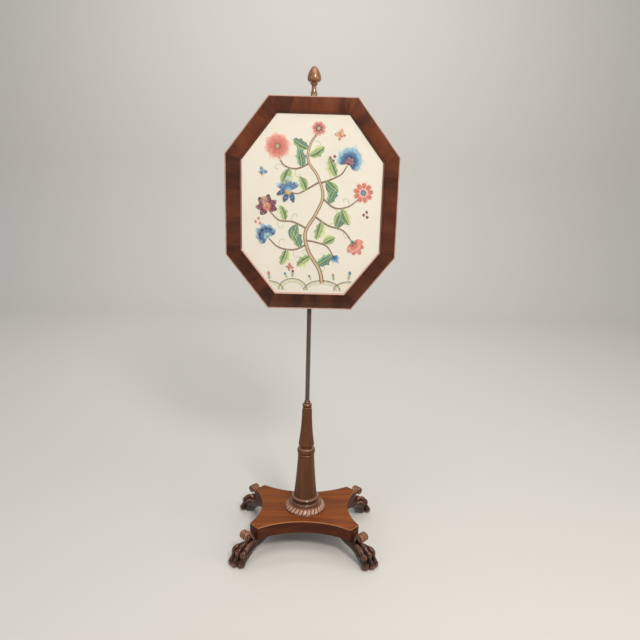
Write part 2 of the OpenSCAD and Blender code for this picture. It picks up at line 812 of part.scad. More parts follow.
module fitting(plate_z, tube_z) {
  web_z = max(plate_z, tube_z);
  web_top = min(plate_z + plate_h, tube_z + tube_l);
  difference() {
    union() {
      translate([-plate_w / 2, -frame_back, plate_z]) cube([plate_w, plate_t, plate_h]);
      translate([-web_t / 2, -frame_back, web_z]) cube([web_t, frame_back, web_top - web_z]);
      disc(tube_z, tube_l, tube_r);
      children();
    }
    disc(tube_z - 1, tube_l + 2, socket_r);
    upright() plates_in_panel() screw_places() wood_screw(glue_fit);
  }
}

module upper_fitting() {
  color("#b9a27a") fitting(upper_plate_z, upper_tube_z);
}

module lower_fitting() {
  color("#b9a27a") difference() {
    fitting(lower_plate_z, lower_tube_z)
      translate([0, 0, clamp_z]) rotate([-90, 0, 0]) cylinder(d = boss_d, h = boss_y, $fn = mid);
    translate([0, 0, clamp_z]) rotate([-90, 0, 0]) cylinder(d = pad_d + 2 * run_fit, h = seat_y, $fn = mid);
    translate([0, 0, clamp_z]) rotate([-90, 0, 0]) cylinder(d = clamp_d + 2 * run_fit, h = boss_y + 1, $fn = mid);
  }
}

module fitting_screws() {
  color("#b9a27a") upright() plates_in_panel() screw_places() difference() {
    wood_screw(0);
    translate([-screw_d, -0.35, -plate_t - 1]) cube([2 * screw_d, 0.7, 1.8]);
  }
}

module clamp_pad() {
  color("#b08d4a") difference() {
    translate([0, 0, clamp_z]) rotate([-90, 0, 0]) cylinder(d = pad_d, h = shank_y, $fn = mid);
    disc(clamp_z - tube_l, 2 * tube_l, socket_r);
  }
}

// The clamp screw: its shank ends on the pad, its lobed head stands clear of the boss
module clamp_screw() {
  neck_t = 3;
  head_t = 5;
  head_y = boss_y + neck_t / 2;
  grips = 18;
  color("#b08d4a") translate([0, 0, clamp_z]) rotate([-90, 0, 0]) {
    translate([0, 0, shank_y]) cylinder(d = clamp_d, h = head_y - shank_y + 1, $fn = mid);
    translate([0, 0, head_y]) cylinder(d1 = 1.6 * clamp_d, d2 = 2 * clamp_d, h = neck_t, $fn = mid);
    translate([0, 0, head_y + neck_t]) linear_extrude(head_t) difference() {
      circle(d = head_d, $fn = fine);
      for (i = [0 : grips - 1]) rotate(360 * i / grips) translate([0.52 * head_d, 0]) circle(d = 0.12 * head_d, $fn = 16);
    }
  }
}

platform();
foot_front_left();
foot_front_right();
foot_back_left();
foot_back_right();
foot_dowels();
collar_ring();
column();
column_wedge();
pole_lower();
pole_stud();
pole_upper();
finial();
finial_pin();
rail_top();
rail_top_right();
rail_right();
rail_bottom_right();
rail_bottom();
rail_bottom_left();
rail_left();
rail_top_left();
edge_beads();
mitre_keys();
needlework();
stretcher_board();
back_board();
back_board_pins();
upper_fitting();
lower_fitting();
fitting_screws();
clamp_pad();
clamp_screw();
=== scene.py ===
import cmath
import math

import bmesh
import bpy
from mathutils import Matrix, Vector


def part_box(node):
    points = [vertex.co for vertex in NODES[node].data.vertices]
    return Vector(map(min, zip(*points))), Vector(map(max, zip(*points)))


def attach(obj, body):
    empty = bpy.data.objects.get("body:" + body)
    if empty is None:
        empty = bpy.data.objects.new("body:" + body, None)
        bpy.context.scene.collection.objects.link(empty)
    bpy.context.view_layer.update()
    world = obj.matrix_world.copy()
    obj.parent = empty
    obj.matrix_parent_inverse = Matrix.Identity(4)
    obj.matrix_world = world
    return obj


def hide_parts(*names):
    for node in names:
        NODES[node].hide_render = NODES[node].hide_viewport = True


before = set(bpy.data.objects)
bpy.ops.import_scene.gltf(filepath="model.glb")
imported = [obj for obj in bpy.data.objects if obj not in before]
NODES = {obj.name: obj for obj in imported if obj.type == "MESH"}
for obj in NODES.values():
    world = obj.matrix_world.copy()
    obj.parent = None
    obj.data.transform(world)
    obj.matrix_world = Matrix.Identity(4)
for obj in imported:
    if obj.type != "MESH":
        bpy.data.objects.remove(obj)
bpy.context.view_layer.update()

bl_info = {
    "name": "Pole Fire Screen",
    "version": (1, 0, 0),
    "blender": (4, 5, 0),
    "location": "View3D > Sidebar > Fire Screen",
    "description": "Finishes, carving and needlework of a pole fire screen over its fixed frame",
    "category": "Add Mesh",
}

MM = 0.001

RAILS = ("rail_top", "rail_top_right", "rail_right", "rail_bottom_right",
         "rail_bottom", "rail_bottom_left", "rail_left", "rail_top_left")
FEET = {"foot_front_left": (-1, -1), "foot_front_right": (1, -1),
        "foot_back_left": (-1, 1), "foot_back_right": (1, 1)}

CLOTH_LOW, CLOTH_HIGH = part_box("needlework")
PANEL_X = (CLOTH_LOW.x + CLOTH_HIGH.x) / 2
PANEL_Z = (CLOTH_LOW.z + CLOTH_HIGH.z) / 2
CLOTH_FRONT = CLOTH_LOW.y


def linear(code):
    """An sRGB hex value as a linear colour."""
    parts = [int(code[i:i + 2], 16) / 255 for i in (1, 3, 5)]
    return tuple(c / 12.92 if c <= 0.04045 else ((c + 0.055) / 1.055) ** 2.4 for c in parts)


def rgba(colour):
    return (*colour[:3], 1.0)


def colour_prop(name, code, description):
    return bpy.props.FloatVectorProperty(
        name=name, description=description, subtype="COLOR", size=3, min=0, max=1, default=linear(code))


def length_prop(name, default, description, low=0.0, high=1.0):
    return bpy.props.FloatProperty(
        name=name, description=description, default=default, min=low, max=high,
        unit="LENGTH", subtype="DISTANCE", precision=5)


class FireScreenSizes(bpy.types.PropertyGroup):
    thread_width: length_prop("Thread width", 1.15 * MM, "Width of one strand of crewel wool")
    thread_rise: length_prop("Thread rise", 0.5 * MM, "How far a stitch stands above the linen")
    stitch_length: length_prop("Stitch length", 7.0 * MM, "Length of one row of long and short stitch")
    carving_grain: length_prop("Carving resolution", 0.8 * MM, "Finest form kept on the carved feet", 0.0004, 0.01)
    lobe_rise: length_prop("Lobe rise", 3.2 * MM, "How far the collar's lobes stand out")
    lobes: bpy.props.IntProperty(name="Lobes", description="Carved lobes round the collar", default=28, min=8, max=60)
    reeds: bpy.props.IntProperty(name="Reeds", description="Reeds on each foot's scroll", default=4, min=3, max=9)
    seed: bpy.props.IntProperty(name="Seed", description="Fixed seed of the stitches' unevenness", default=7, min=0)


class FireScreenColours(bpy.types.PropertyGroup):
    top_light: colour_prop("Platform, light", "#8c4a17", "Light figure of the platform's veneer")
    top_dark: colour_prop("Platform, dark", "#66300d", "Dark figure of the platform's veneer")
    # Painted shade: the platform's side colours are darker than the top's because the sides turn away from the overhead
    # light
    side_shade_light: colour_prop("Platform side, light", "#5a280f", "Light figure of the platform's edge")
    side_shade_dark: colour_prop("Platform side, dark", "#371608", "Dark figure of the platform's edge")
    veneer_light: colour_prop("Frame, light", "#602e13", "Light figure of the frame's cross-banding")
    veneer_dark: colour_prop("Frame, dark", "#351607", "Dark figure of the frame's cross-banding")
    # Painted highlight: the bead's colours are pale all over for the light the small bead catches; the light one also
    # paints the sight edge's highlight
    bead_light: colour_prop("Bead, light", "#c49a88", "Light figure of the bead and of the rubbed sight edge")
    bead_dark: colour_prop("Bead, dark", "#a0705e", "Dark figure of the bead")
    turned_light: colour_prop("Column, light", "#693c1a", "Light figure of the turned column")
    turned_dark: colour_prop("Column, dark", "#452610", "Dark figure of the turned column")
    # Painted highlight: the pale colour laid on the upward faces of the column's rings
    turned_highlight: colour_prop("Column, rubbed", "#94705c", "Upper sides of the column's rings, rubbed pale")
    pole_light: colour_prop("Pole, light", "#543d2c", "Light streaks of the pole")
    pole_dark: colour_prop("Pole, dark", "#221812", "Dark streaks of the pole")
    # Pale colour of the carving's high points: partly rubbing of the polish, partly a painted highlight
    carved_wear_and_highlight: colour_prop("Carving, rubbed", "#b0795a", "High points of the carving, rubbed bright")
    carved_light: colour_prop("Carving, light", "#462010", "Light figure of the carved wood")
    carved_dark: colour_prop("Carving, dark", "#230e07", "Dark figure of the carved wood")
    # Pale colour of the collar's high points: partly rubbing of the polish, partly a painted highlight
    collar_wear_and_highlight: colour_prop("Collar, rubbed", "#aa8470", "High points of the collar, rubbed pale")
    collar_light: colour_prop("Collar, light", "#875940", "Light figure of the collar")
    collar_dark: colour_prop("Collar, dark", "#684330", "Dark figure of the collar")
    linen: colour_prop("Linen", "#d8d2c4", "Twill linen ground of the needlework")
    brass: colour_prop("Brass", "#b5a27c", "Old brass of the fittings")
    floor: colour_prop("Floor", "#cfccc6", "Studio floor")


def sizes():
    return bpy.context.scene.fire_screen_sizes


def colours():
    return bpy.context.scene.fire_screen_colours


# Materials

def add(tree, kind, inputs=None, **settings):
    """Adds a node, sets its settings, and gives its inputs plain values or links them to sockets."""
    made = tree.nodes.new(kind)
    for name, value in settings.items():
        setattr(made, name, value)
    for name, value in (inputs or {}).items():
        if isinstance(value, bpy.types.NodeSocket):
            tree.links.new(value, made.inputs[name])
        else:
            made.inputs[name].default_value = value
    return made


def new_material(name):
    """An empty node material with its output and shader, ready to be fed."""
    material = bpy.data.materials.new(name)
    material.use_nodes = True
    tree = material.node_tree
    tree.nodes.clear()
    shader = add(tree, "ShaderNodeBsdfPrincipled")
    add(tree, "ShaderNodeOutputMaterial", {"Surface": shader.outputs[0]})
    return material, tree, shader


def stretched_noise(tree, vector, scale, detail=3.0, distortion=0.0):
    """Noise whose features are 1 / scale metres long along each axis."""
    mapped = add(tree, "ShaderNodeMapping", {"Vector": vector, "Scale": scale})
    noise = add(tree, "ShaderNodeTexNoise", {
        "Vector": mapped.outputs[0], "Scale": 1.0, "Detail": detail, "Roughness": 0.55, "Distortion": distortion})
    return noise.outputs["Fac"]


def ramp(tree, factor, low, high):
    """Takes a factor from 0 at low to 1 at high, smoothly."""
    made = add(tree, "ShaderNodeMapRange", {"Value": factor, "From Min": low, "From Max": high},
               interpolation_type="SMOOTHSTEP")
    return made.outputs[0]


def mix(tree, factor, a, b, mode="MIX"):
    """Mixes two colours, each a colour or a socket."""
    made = add(tree, "ShaderNodeMix", data_type="RGBA", blend_type=mode)
    ends = [v if isinstance(v, bpy.types.NodeSocket) else rgba(v) for v in (a, b)]
    for place, value in zip((0, 6, 7), (factor, *ends)):
        if isinstance(value, bpy.types.NodeSocket):
            tree.links.new(value, made.inputs[place])
        else:
            made.inputs[place].default_value = value
    return made.outputs[2]


def wood_colour(tree, turn, place, light, dark, streaky=1.0):
    """Straight-grained mahogany: broad ribbon figure, finer streaks and short dark pores.

    Grain runs along X after the turn. Returns the colour and a height for the bump."""
    coords = add(tree, "ShaderNodeTexCoord").outputs["Object"]
    grain = add(tree, "ShaderNodeMapping", {"Vector": coords, "Rotation": turn, "Location": place}).outputs[0]
    ribbon = stretched_noise(tree, grain, (5, 12 + 26 * streaky, 12 + 26 * streaky), 3.0, 0.7)
    streak = stretched_noise(tree, grain, (16, 320, 320), 3.0)
    # Real pores are about 0.2 mm wide; they are drawn 0.4 mm wide so that they show
    pores = ramp(tree, stretched_noise(tree, grain, (130, 2400, 2400), 1.0), 0.56, 0.72)
    body = mix(tree, ramp(tree, ribbon, 0.3, 0.72), dark, light)
    middle = tuple((a + b) / 2 for a, b in zip(light, dark))
    body = mix(tree, scaled(tree, ramp(tree, streak, 0.35, 0.8), 0.4 + 0.6 * streaky), body, middle)
    shade = tuple(c * 0.45 for c in dark)
    pored = mix(tree, scaled(tree, pores, 0.55), body, shade)
    return pored, ribbon, pores


def scaled(tree, factor, by):
    return add(tree, "ShaderNodeMath", {0: factor, 1: by}, operation="MULTIPLY").outputs[0]


def polish(tree, shader, height, roughness=(0.28, 0.42), coat=0.5, coat_roughness=0.16, gloss=0.5):
    """French polish: a clear coat over wood whose pores are not quite filled."""
    vary = add(tree, "ShaderNodeMapRange", {
        "Value": height[0], "To Min": roughness[0], "To Max": roughness[1]}).outputs[0]
    tree.links.new(vary, shader.inputs["Roughness"])
    bump = add(tree, "ShaderNodeBump", {"Strength": 0.35, "Distance": 0.00008, "Height": height[1]}, invert=True)
    tree.links.new(bump.outputs[0], shader.inputs["Normal"])
    shader.inputs["Coat Weight"].default_value = coat
    shader.inputs["Coat Roughness"].default_value = coat_roughness
    shader.inputs["Specular IOR Level"].default_value = gloss
    shader.inputs["IOR"].default_value = 1.5


def mahogany(name, light, dark, turn=(0, 0, 0), place=(0, 0, 0), streaky=1.0, **finish):
    """Polished mahogany with its grain along X before the turn."""
    material, tree, shader = new_material(name)
    colour, ribbon, pores = wood_colour(tree, turn, place, light, dark, streaky)
    tree.links.new(colour, shader.inputs["Base Color"])
    polish(tree, shader, (ribbon, pores), **finish)
    return material


def platform_wood():
    """Platform: bright veneer on top with its grain left to right, its edges painted darker as shade, and a pale
    highlight painted along the top arris.
    """
    c = colours()
    material, tree, shader = new_material("French polished mahogany veneer, platform")
    top, ribbon, pores = wood_colour(tree, (0, 0, 0), (0.3, 0, 0), c.top_light, c.top_dark)
    side, _, _ = wood_colour(tree, (0, 0, 0), (0, 0.7, 0.2), c.side_shade_light, c.side_shade_dark)
    source = add(tree, "ShaderNodeTexCoord")
    facing = add(tree, "ShaderNodeSeparateXYZ", {0: source.outputs["Normal"]}).outputs[2]
    # Painted shade: faces that do not face up take the darker side colours
    colour = mix(tree, ramp(tree, facing, 0.5, 0.9), side, top)
    low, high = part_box("platform")
    height = add(tree, "ShaderNodeSeparateXYZ", {0: source.outputs["Object"]}).outputs[2]
    patchy = ramp(tree, stretched_noise(tree, source.outputs["Object"], (90, 90, 90), 2.0), 0.05, 0.5)
    # Painted highlight: a pale line along the top of the side faces, in patches, standing for the light on the rounded
    # arris
    arris = scaled(tree, ramp(tree, height, high.z - 0.0034, high.z - 0.0016), 0.95)
    edge_highlight = add(tree, "ShaderNodeMath", {0: arris, 1: patchy}, operation="MULTIPLY").outputs[0]
    on_edge = add(tree, "ShaderNodeMath", {0: 1.0, 1: ramp(tree, facing, 0.5, 0.9)}, operation="SUBTRACT").outputs[0]
    edge_highlight = add(tree, "ShaderNodeMath", {0: edge_highlight, 1: on_edge}, operation="MULTIPLY").outputs[0]
    colour = mix(tree, edge_highlight, colour, linear("#c98a5a"))
    tree.links.new(colour, shader.inputs["Base Color"])
    polish(tree, shader, (ribbon, pores), roughness=(0.4, 0.55), coat=0.0, gloss=0.18)
    return material


def turned_wood():
    """Turned mahogany: satin shafts, and rings with a painted highlight and a glossier coat on their upward faces and
    painted shade on their downward faces.
    """
    c = colours()
    material, tree, shader = new_material("Turned mahogany, satin polish")
    body, ribbon, pores = wood_colour(tree, (0, math.pi / 2, 0), (0, 0, 0), c.turned_light, c.turned_dark)
    facing = add(tree, "ShaderNodeSeparateXYZ", {0: add(tree, "ShaderNodeTexCoord").outputs["Normal"]}).outputs[2]
    # Painted highlight: faces that turn up to the overhead light are mixed halfway to the pale colour, and get more
    # coat
    wear_and_highlight = ramp(tree, facing, 0.25, 0.75)
    colour = mix(tree, scaled(tree, wear_and_highlight, 0.5), body, c.turned_highlight)
    # Painted shade: faces that turn down are darkened towards a third of the dark figure
    under = add(tree, "ShaderNodeMapRange", {"Value": facing, "From Min": -0.7, "From Max": -0.1,
                                             "To Min": 0.8, "To Max": 0.0}).outputs[0]
    colour = mix(tree, under, colour, tuple(v * 0.3 for v in c.turned_dark))
    tree.links.new(colour, shader.inputs["Base Color"])
    polish(tree, shader, (ribbon, pores), roughness=(0.34, 0.46), coat=0.12, coat_roughness=0.14, gloss=0.25)
    tree.links.new(add(tree, "ShaderNodeMapRange", {"Value": wear_and_highlight, "To Min": 0.1, "To Max": 1.0}).outputs[0],
                   shader.inputs["Coat Weight"])
    return material


def carved_wood(name, body_light, body_dark, wear_and_highlight, depth=0.9):
    """Carved mahogany: near-black in the hollows, pale on the high points, partly from rubbing of the polish and partly
    a painted highlight, with a painted glint on the highest.

    The wear attribute holds how far each point stands out, and depth is how dark the hollows are."""
    material, tree, shader = new_material(name)
    body, ribbon, pores = wood_colour(tree, (0, 0, 0.785), (0, 0, 0), body_light, body_dark)
    prominence = add(tree, "ShaderNodeAttribute", attribute_name="prominence").outputs["Fac"]
    place = add(tree, "ShaderNodeTexCoord").outputs["Object"]
    patchy = add(tree, "ShaderNodeMapRange", {
        "Value": stretched_noise(tree, place, (160, 160, 160), 2.0), "From Min": 0.3, "From Max": 0.65,
        "To Min": 0.5, "To Max": 1.0}).outputs[0]
    # High points: partly rubbed pale, partly a painted highlight
    high = add(tree, "ShaderNodeMath", {0: ramp(tree, prominence, 0.6, 0.8), 1: patchy}, operation="MULTIPLY").outputs[0]
    colour = mix(tree, high, body, wear_and_highlight)
    # Painted glint: the highest points are mixed towards a colour half again brighter than the pale one, standing for
    # the lamp's reflection
    painted_glint = add(tree, "ShaderNodeMath", {0: ramp(tree, prominence, 0.78, 0.92), 1: patchy}, operation="MULTIPLY").outputs[0]
    colour = mix(tree, scaled(tree, painted_glint, 0.7), colour, tuple(min(1.0, 1.5 * v) for v in wear_and_highlight))
    # The hollows are darkened towards near-black, the more the lower they sink
    hollow = add(tree, "ShaderNodeMapRange", {"Value": prominence, "From Min": 0.18, "From Max": 0.46,
                                              "To Min": depth, "To Max": 0.0}).outputs[0]
    colour = mix(tree, hollow, colour, tuple(v * 0.22 for v in body_dark))
    tree.links.new(colour, shader.inputs["Base Color"])
    polish(tree, shader, (ribbon, pores), roughness=(0.3, 0.4), coat=0.62, coat_roughness=0.16, gloss=0.08)
    return material


def old_brass():
    """Cast and turned brass, dulled and slightly grey: soft reflections, faint turning marks."""
    c = colours()
    material, tree, shader = new_material("Lacquered brass, dulled")
    coords = add(tree, "ShaderNodeTexCoord").outputs["Object"]
    stain = stretched_noise(tree, coords, (120, 120, 120), 4.0)
    colour = mix(tree, ramp(tree, stain, 0.35, 0.75), tuple(v * 0.72 for v in c.brass), c.brass)
    tree.links.new(colour, shader.inputs["Base Color"])
    rough = add(tree, "ShaderNodeMapRange", {"Value": stain, "To Min": 0.28, "To Max": 0.5}).outputs[0]
    tree.links.new(rough, shader.inputs["Roughness"])
    shader.inputs["Metallic"].default_value = 1.0
    turned = stretched_noise(tree, coords, (90, 90, 2500), 1.0)
    bump = add(tree, "ShaderNodeBump", {"Strength": 0.2, "Distance": 0.00005, "Height": turned})
    tree.links.new(bump.outputs[0], shader.inputs["Normal"])
    return material


def twill_linen():
    """Twill linen: warm cream threads 0.7 mm apart whose floats step into a diagonal rib."""
    c = colours()
    material, tree, shader = new_material("Twill weave linen")
    source = add(tree, "ShaderNodeTexCoord").outputs["Object"]
    across = add(tree, "ShaderNodeTexWave", {"Vector": source, "Scale": 220.0, "Distortion": 0.6, "Detail": 1.0},
                 wave_type="BANDS", bands_direction="X").outputs["Fac"]
    along = add(tree, "ShaderNodeTexWave", {"Vector": source, "Scale": 220.0, "Distortion": 0.6, "Detail": 1.0},
                wave_type="BANDS", bands_direction="Z").outputs["Fac"]
    leaned = add(tree, "ShaderNodeMapping", {"Vector": source, "Rotation": (0, 0.785, 0)}).outputs[0]
    rib = add(tree, "ShaderNodeTexWave", {"Vector": leaned, "Scale": 110.0, "Distortion": 0.4},
              wave_type="BANDS", bands_direction="X").outputs["Fac"]
    weave = add(tree, "ShaderNodeMath", {0: across, 1: along}, operation="MULTIPLY").outputs[0]
    weave = add(tree, "ShaderNodeMath", {0: weave, 1: rib}, operation="ADD").outputs[0]
    slub = stretched_noise(tree, source, (12, 12, 160), 3.0)
    cloud = stretched_noise(tree, source, (7, 7, 7), 2.0)
    dark = tuple(v * w for v, w in zip(c.linen, (0.86, 0.83, 0.76)))
    colour = mix(tree, scaled(tree, ramp(tree, weave, 1.1, 0.1), 0.35), c.linen, dark)
    colour = mix(tree, scaled(tree, ramp(tree, slub, 0.55, 0.8), 0.25), colour, dark)
    colour = mix(tree, scaled(tree, ramp(tree, cloud, 0.45, 0.8), 0.3), colour, dark)
    tree.links.new(colour, shader.inputs["Base Color"])
    bump = add(tree, "ShaderNodeBump", {"Strength": 0.5, "Distance": 0.00018, "Height": weave})
    tree.links.new(bump.outputs[0], shader.inputs["Normal"])
    shader.inputs["Roughness"].default_value = 0.88
    shader.inputs["Sheen Weight"].default_value = 0.15
    return material


def crewel_wool():
    """Two-ply crewel wool: dyed colour from the thread attribute, uneven dye and a soft sheen."""
    material, tree, shader = new_material("Dyed crewel wool")
    dye = add(tree, "ShaderNodeAttribute", attribute_name="thread").outputs["Color"]
    source = add(tree, "ShaderNodeTexCoord").outputs["Object"]
    fade = stretched_noise(tree, source, (300, 300, 300), 2.0)
    value = add(tree, "ShaderNodeMapRange", {"Value": fade, "To Min": 0.72, "To Max": 1.3}).outputs[0]
    colour = add(tree, "ShaderNodeHueSaturation", {"Color": dye, "Value": value, "Saturation": 0.88}).outputs[0]
    tree.links.new(colour, shader.inputs["Base Color"])
    shader.inputs["Roughness"].default_value = 0.75
    shader.inputs["Sheen Weight"].default_value = 0.25
    shader.inputs["Sheen Roughness"].default_value = 0.4
    return material


def secondary_wood():
    """Bare softwood: pale, dry, with plain straight grain."""
    return mahogany("Bare pine and birch", linear("#c9a878"), linear("#a07c4c"), (0, 1.5708, 0),
                    roughness=(0.6, 0.8), coat=0.0)


def dress(name, material):
    """Gives a CAD node its finish."""
    slots = NODES[name].material_slots
    if not slots:
        NODES[name].data.materials.append(material)
    for slot in NODES[name].material_slots:
        slot.material = material


# Meshes

def mesh_object(name, verts, faces, material=None):
    data = bpy.data.meshes.new(name)
    data.from_pydata([tuple(v) for v in verts], [], faces)
    data.update()
    made = bpy.data.objects.new(name, data)
    bpy.context.scene.collection.objects.link(made)
    if material:
        data.materials.append(material)
    return made


def smooth(piece):
    piece.data.polygons.foreach_set("use_smooth", [True] * len(piece.data.polygons))
    piece.data.update()


def ring_faces(rings, count, closed_ring=True, start=0):
    """Quads between rings that each have count points, and the two end caps."""
    faces = []
    for i in range(rings - 1):
        for j in range(count if closed_ring else count - 1):
            a = start + i * count + j
            b = start + i * count + (j + 1) % count
            faces.append((a, b, b + count, a + count))
    faces.append(tuple(start + j for j in reversed(range(count))))
    faces.append(tuple(start + (rings - 1) * count + j for j in range(count)))
    return faces


def applied(piece, name, modifiers):
    """Adds modifiers, takes the evaluated mesh as a new plain object and drops the old one."""
    for kind, settings in modifiers:
        modifier = piece.modifiers.new(kind, kind)
        for key, value in settings.items():
            setattr(modifier, key, value)
    graph = bpy.context.evaluated_depsgraph_get()
    data = bpy.data.meshes.new_from_object(piece.evaluated_get(graph))
    data.name = name
    bpy.data.objects.remove(piece)
    made = bpy.data.objects.new(name, data)
    bpy.context.scene.collection.objects.link(made)
    return made


def face_outwards(piece):
    form = bmesh.new()
    form.from_mesh(piece.data)
    bmesh.ops.recalc_face_normals(form, faces=form.faces)
    form.to_mesh(piece.data)
    form.free()


def mark_prominence(piece, reach, passes):
    """Writes how far each point stands out of its softened surroundings, 0.5 where it is flat."""
    softened = piece.modifiers.new("soften", "SMOOTH")
    softened.factor = 0.5
    softened.iterations = passes
    graph = bpy.context.evaluated_depsgraph_get()
    soft = bpy.data.meshes.new_from_object(piece.evaluated_get(graph))
    piece.modifiers.remove(softened)
    stand = [(v.co - w.co).dot(v.normal) for v, w in zip(piece.data.vertices, soft.vertices)]
    bpy.data.meshes.remove(soft)
    layer = piece.data.attributes.new("prominence", "FLOAT", "POINT")
    layer.data.foreach_set("value", [min(1.0, max(0.0, 0.5 + v / reach)) for v in stand])


def finish_piece(piece, body, slot, *nodes):
    """Hands a finished piece to the frame."""
    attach(piece, body)
    if nodes:
        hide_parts(*nodes)


# Stage

CAMERA_PLACE = (0.01074, -1.81930, 1.22242)
CAMERA_YAW = 0.70740
CAMERA_PITCH = 14.65070
CAMERA_ROLL = 1.50880
CAMERA_LENS = 34.875


def camera_matrix():
    """Looks along +Y, turned by the yaw, down by the pitch, and leaned by the roll."""
    yaw, pitch, roll = (math.radians(v) for v in (CAMERA_YAW, CAMERA_PITCH, CAMERA_ROLL))
    ahead = Vector((math.sin(yaw) * math.cos(pitch), math.cos(yaw) * math.cos(pitch), -math.sin(pitch)))
    right = Vector((math.cos(yaw), -math.sin(yaw), 0))
    down = ahead.cross(right)
    image_right = math.cos(roll) * right - math.sin(roll) * down
    image_down = math.sin(roll) * right + math.cos(roll) * down
    turn = Matrix((image_right, -image_down, -ahead)).transposed().to_4x4()
    return Matrix.Translation(CAMERA_PLACE) @ turn


def lamp(name, place, aim, size, power, tint="#ffffff"):
    data = bpy.data.lights.new(name, "AREA")
    data.shape = "RECTANGLE"
    data.size, data.size_y = size
    data.energy = power
    data.color = linear(tint)
    made = bpy.data.objects.new(name, data)
    made.matrix_world = (Matrix.Translation(place)
                         @ (Vector(aim) - Vector(place)).to_track_quat("-Z", "Y").to_matrix().to_4x4())
    bpy.context.scene.collection.objects.link(made)


def floor_material():
    material, tree, shader = new_material("Studio paper")
    shader.inputs["Base Color"].default_value = rgba(colours().floor)
    shader.inputs["Roughness"].default_value = 0.9
    return material


class FIRESCREEN_OT_stage(bpy.types.Operator):
    """Make the floor with its curved backdrop, the lamps, the world and the camera"""
    bl_idname = "firescreen.stage"
    bl_label = "Stage"
    bl_options = {"REGISTER", "UNDO"}

    def execute(self, context):
        scene = context.scene
        scene.view_settings.view_transform = "Standard"
        half, back, curve, steps = 6.0, 3.0, 1.2, 16
        profile = [(-6.0, 0.0), (back, 0.0)]
        for i in range(1, steps + 1):
            a = math.radians(90 * i / steps)
            profile.append((back + curve * math.sin(a), curve * (1 - math.cos(a))))
        profile.append((back + curve, 6.0))
        verts = [(x, y, z) for y, z in profile for x in (-half, half)]
        faces = [(2 * i, 2 * i + 1, 2 * i + 3, 2 * i + 2) for i in range(len(profile) - 1)]
        floor = mesh_object("studio_floor", verts, faces, floor_material())
        smooth(floor)
        world = bpy.data.worlds.new("Studio")
        world.use_nodes = True
        world.node_tree.nodes["Background"].inputs[0].default_value = rgba(linear("#dfe3e8"))
        world.node_tree.nodes["Background"].inputs[1].default_value = 0.45
        scene.world = world
        lamp("overhead_bank", (0.3, -0.9, 3.4), (0, 0, 0.5), (2.6, 1.8), 36, "#fffaf2")
        lamp("key", (0.85, -2.3, 2.75), (0, 0, 0.4), (0.6, 0.6), 62, "#fff8f0")
        lamp("front_window", (-2.0, -2.4, 2.0), (0, 0, 0.9), (1.4, 1.8), 14, "#f4f8ff")
        lamp("side_fill", (2.4, -1.2, 1.6), (0, 0, 0.7), (1.2, 1.6), 12, "#fff6ea")
        lamp("backdrop_wash", (0.0, 1.4, 3.4), (0, 4.0, 1.2), (3.0, 1.0), 60)
        data = bpy.data.cameras.new("camera")
        data.lens = CAMERA_LENS
        data.sensor_width = 36.0
        camera = bpy.data.objects.new("camera", data)
        camera.matrix_world = camera_matrix()
        scene.collection.objects.link(camera)
        scene.camera = camera
        return {"FINISHED"}


# Needlework: threads are laid in millimetres from the panel's middle, x to the right and y up

PALETTE = {
    "navy": "#27486e", "blue": "#3a6c9a", "sky": "#7fb0c4", "mist": "#bcd2d6",
    "maroon": "#6f2440", "coral": "#cc6250", "salmon": "#dd957c", "blush": "#ecc8b4",
    "moss": "#667d50", "leaf": "#92ae6c", "lime": "#c6d182", "teal": "#4f8578",
    "bark": "#7a5f44", "tan": "#a98a66", "straw": "#d9c69a", "gold": "#c9a560"}

SIGHT_W, SIGHT_H = 198.0, 250.5
SLANT = (0.7877, 0.6160, 233.1)
# Width of the pale highlight painted along the sight edge
SIGHT_HIGHLIGHT = 4.5 * MM


class Stitching(list):
    """The stitches laid so far, with the wool's width and the length of a long stitch in millimetres."""

    def __init__(self):
        super().__init__()
        self.thread = sizes().thread_width / MM
        self.stitch = sizes().stitch_length / MM


def in_sight(p, margin=3.0):
    x, y = abs(p.real), abs(p.imag)
    nx, ny, reach = SLANT
    return x < SIGHT_W - margin and y < SIGHT_H - margin and nx * x + ny * y < reach - margin


def lay(work, a, b, wool, width=1.0, lift=0.0):
    """One stitch from a to b, which are complex numbers in millimetres from the panel's middle."""
    if in_sight(a) and in_sight(b) and abs(b - a) > 0.5:
        work.append((a, b, wool, width * work.thread, lift))


def shade(wools, t):
    return wools[min(len(wools) - 1, max(0, int(t * len(wools))))]


def petal(work, base, turn, length, width, wools, bend=0.0, ragged=0.0, full=1.25, lift=0.1):
    """Long and short stitch from the base to the tip, in rows of wool from the first to the last."""
    way = cmath.rect(1, turn)

    def half(t):
        return width / 2 * math.sin(math.pi * min(0.97, max(0.03, t)) ** full) ** 0.65

    def point(t, v):
        return base + way * complex(t * length, v * half(t) + bend * length * t * t)

    step = work.stitch / length
    row = 0
    while row * step < 1:
        middle = (row + 0.5) * step
        across = max(1, round(2 * half(middle) / work.thread))
        for j in range(across):
            v = (2 * j + 1) / across - 1
            shift = 0.45 * step * (j % 2)
            end = 1 - ragged * abs(math.sin(2.5 * math.pi * v))
            t0 = max(0.0, row * step - shift)
            t1 = min(end, (row + 1) * step - shift + 0.1 * step)
            if row * step + step >= 1:
                t1 = end
            if t1 > t0:
                lay(work, point(t0, v), point(t1, v), shade(wools, (t0 + t1) / 2), lift=lift)
        row += 1


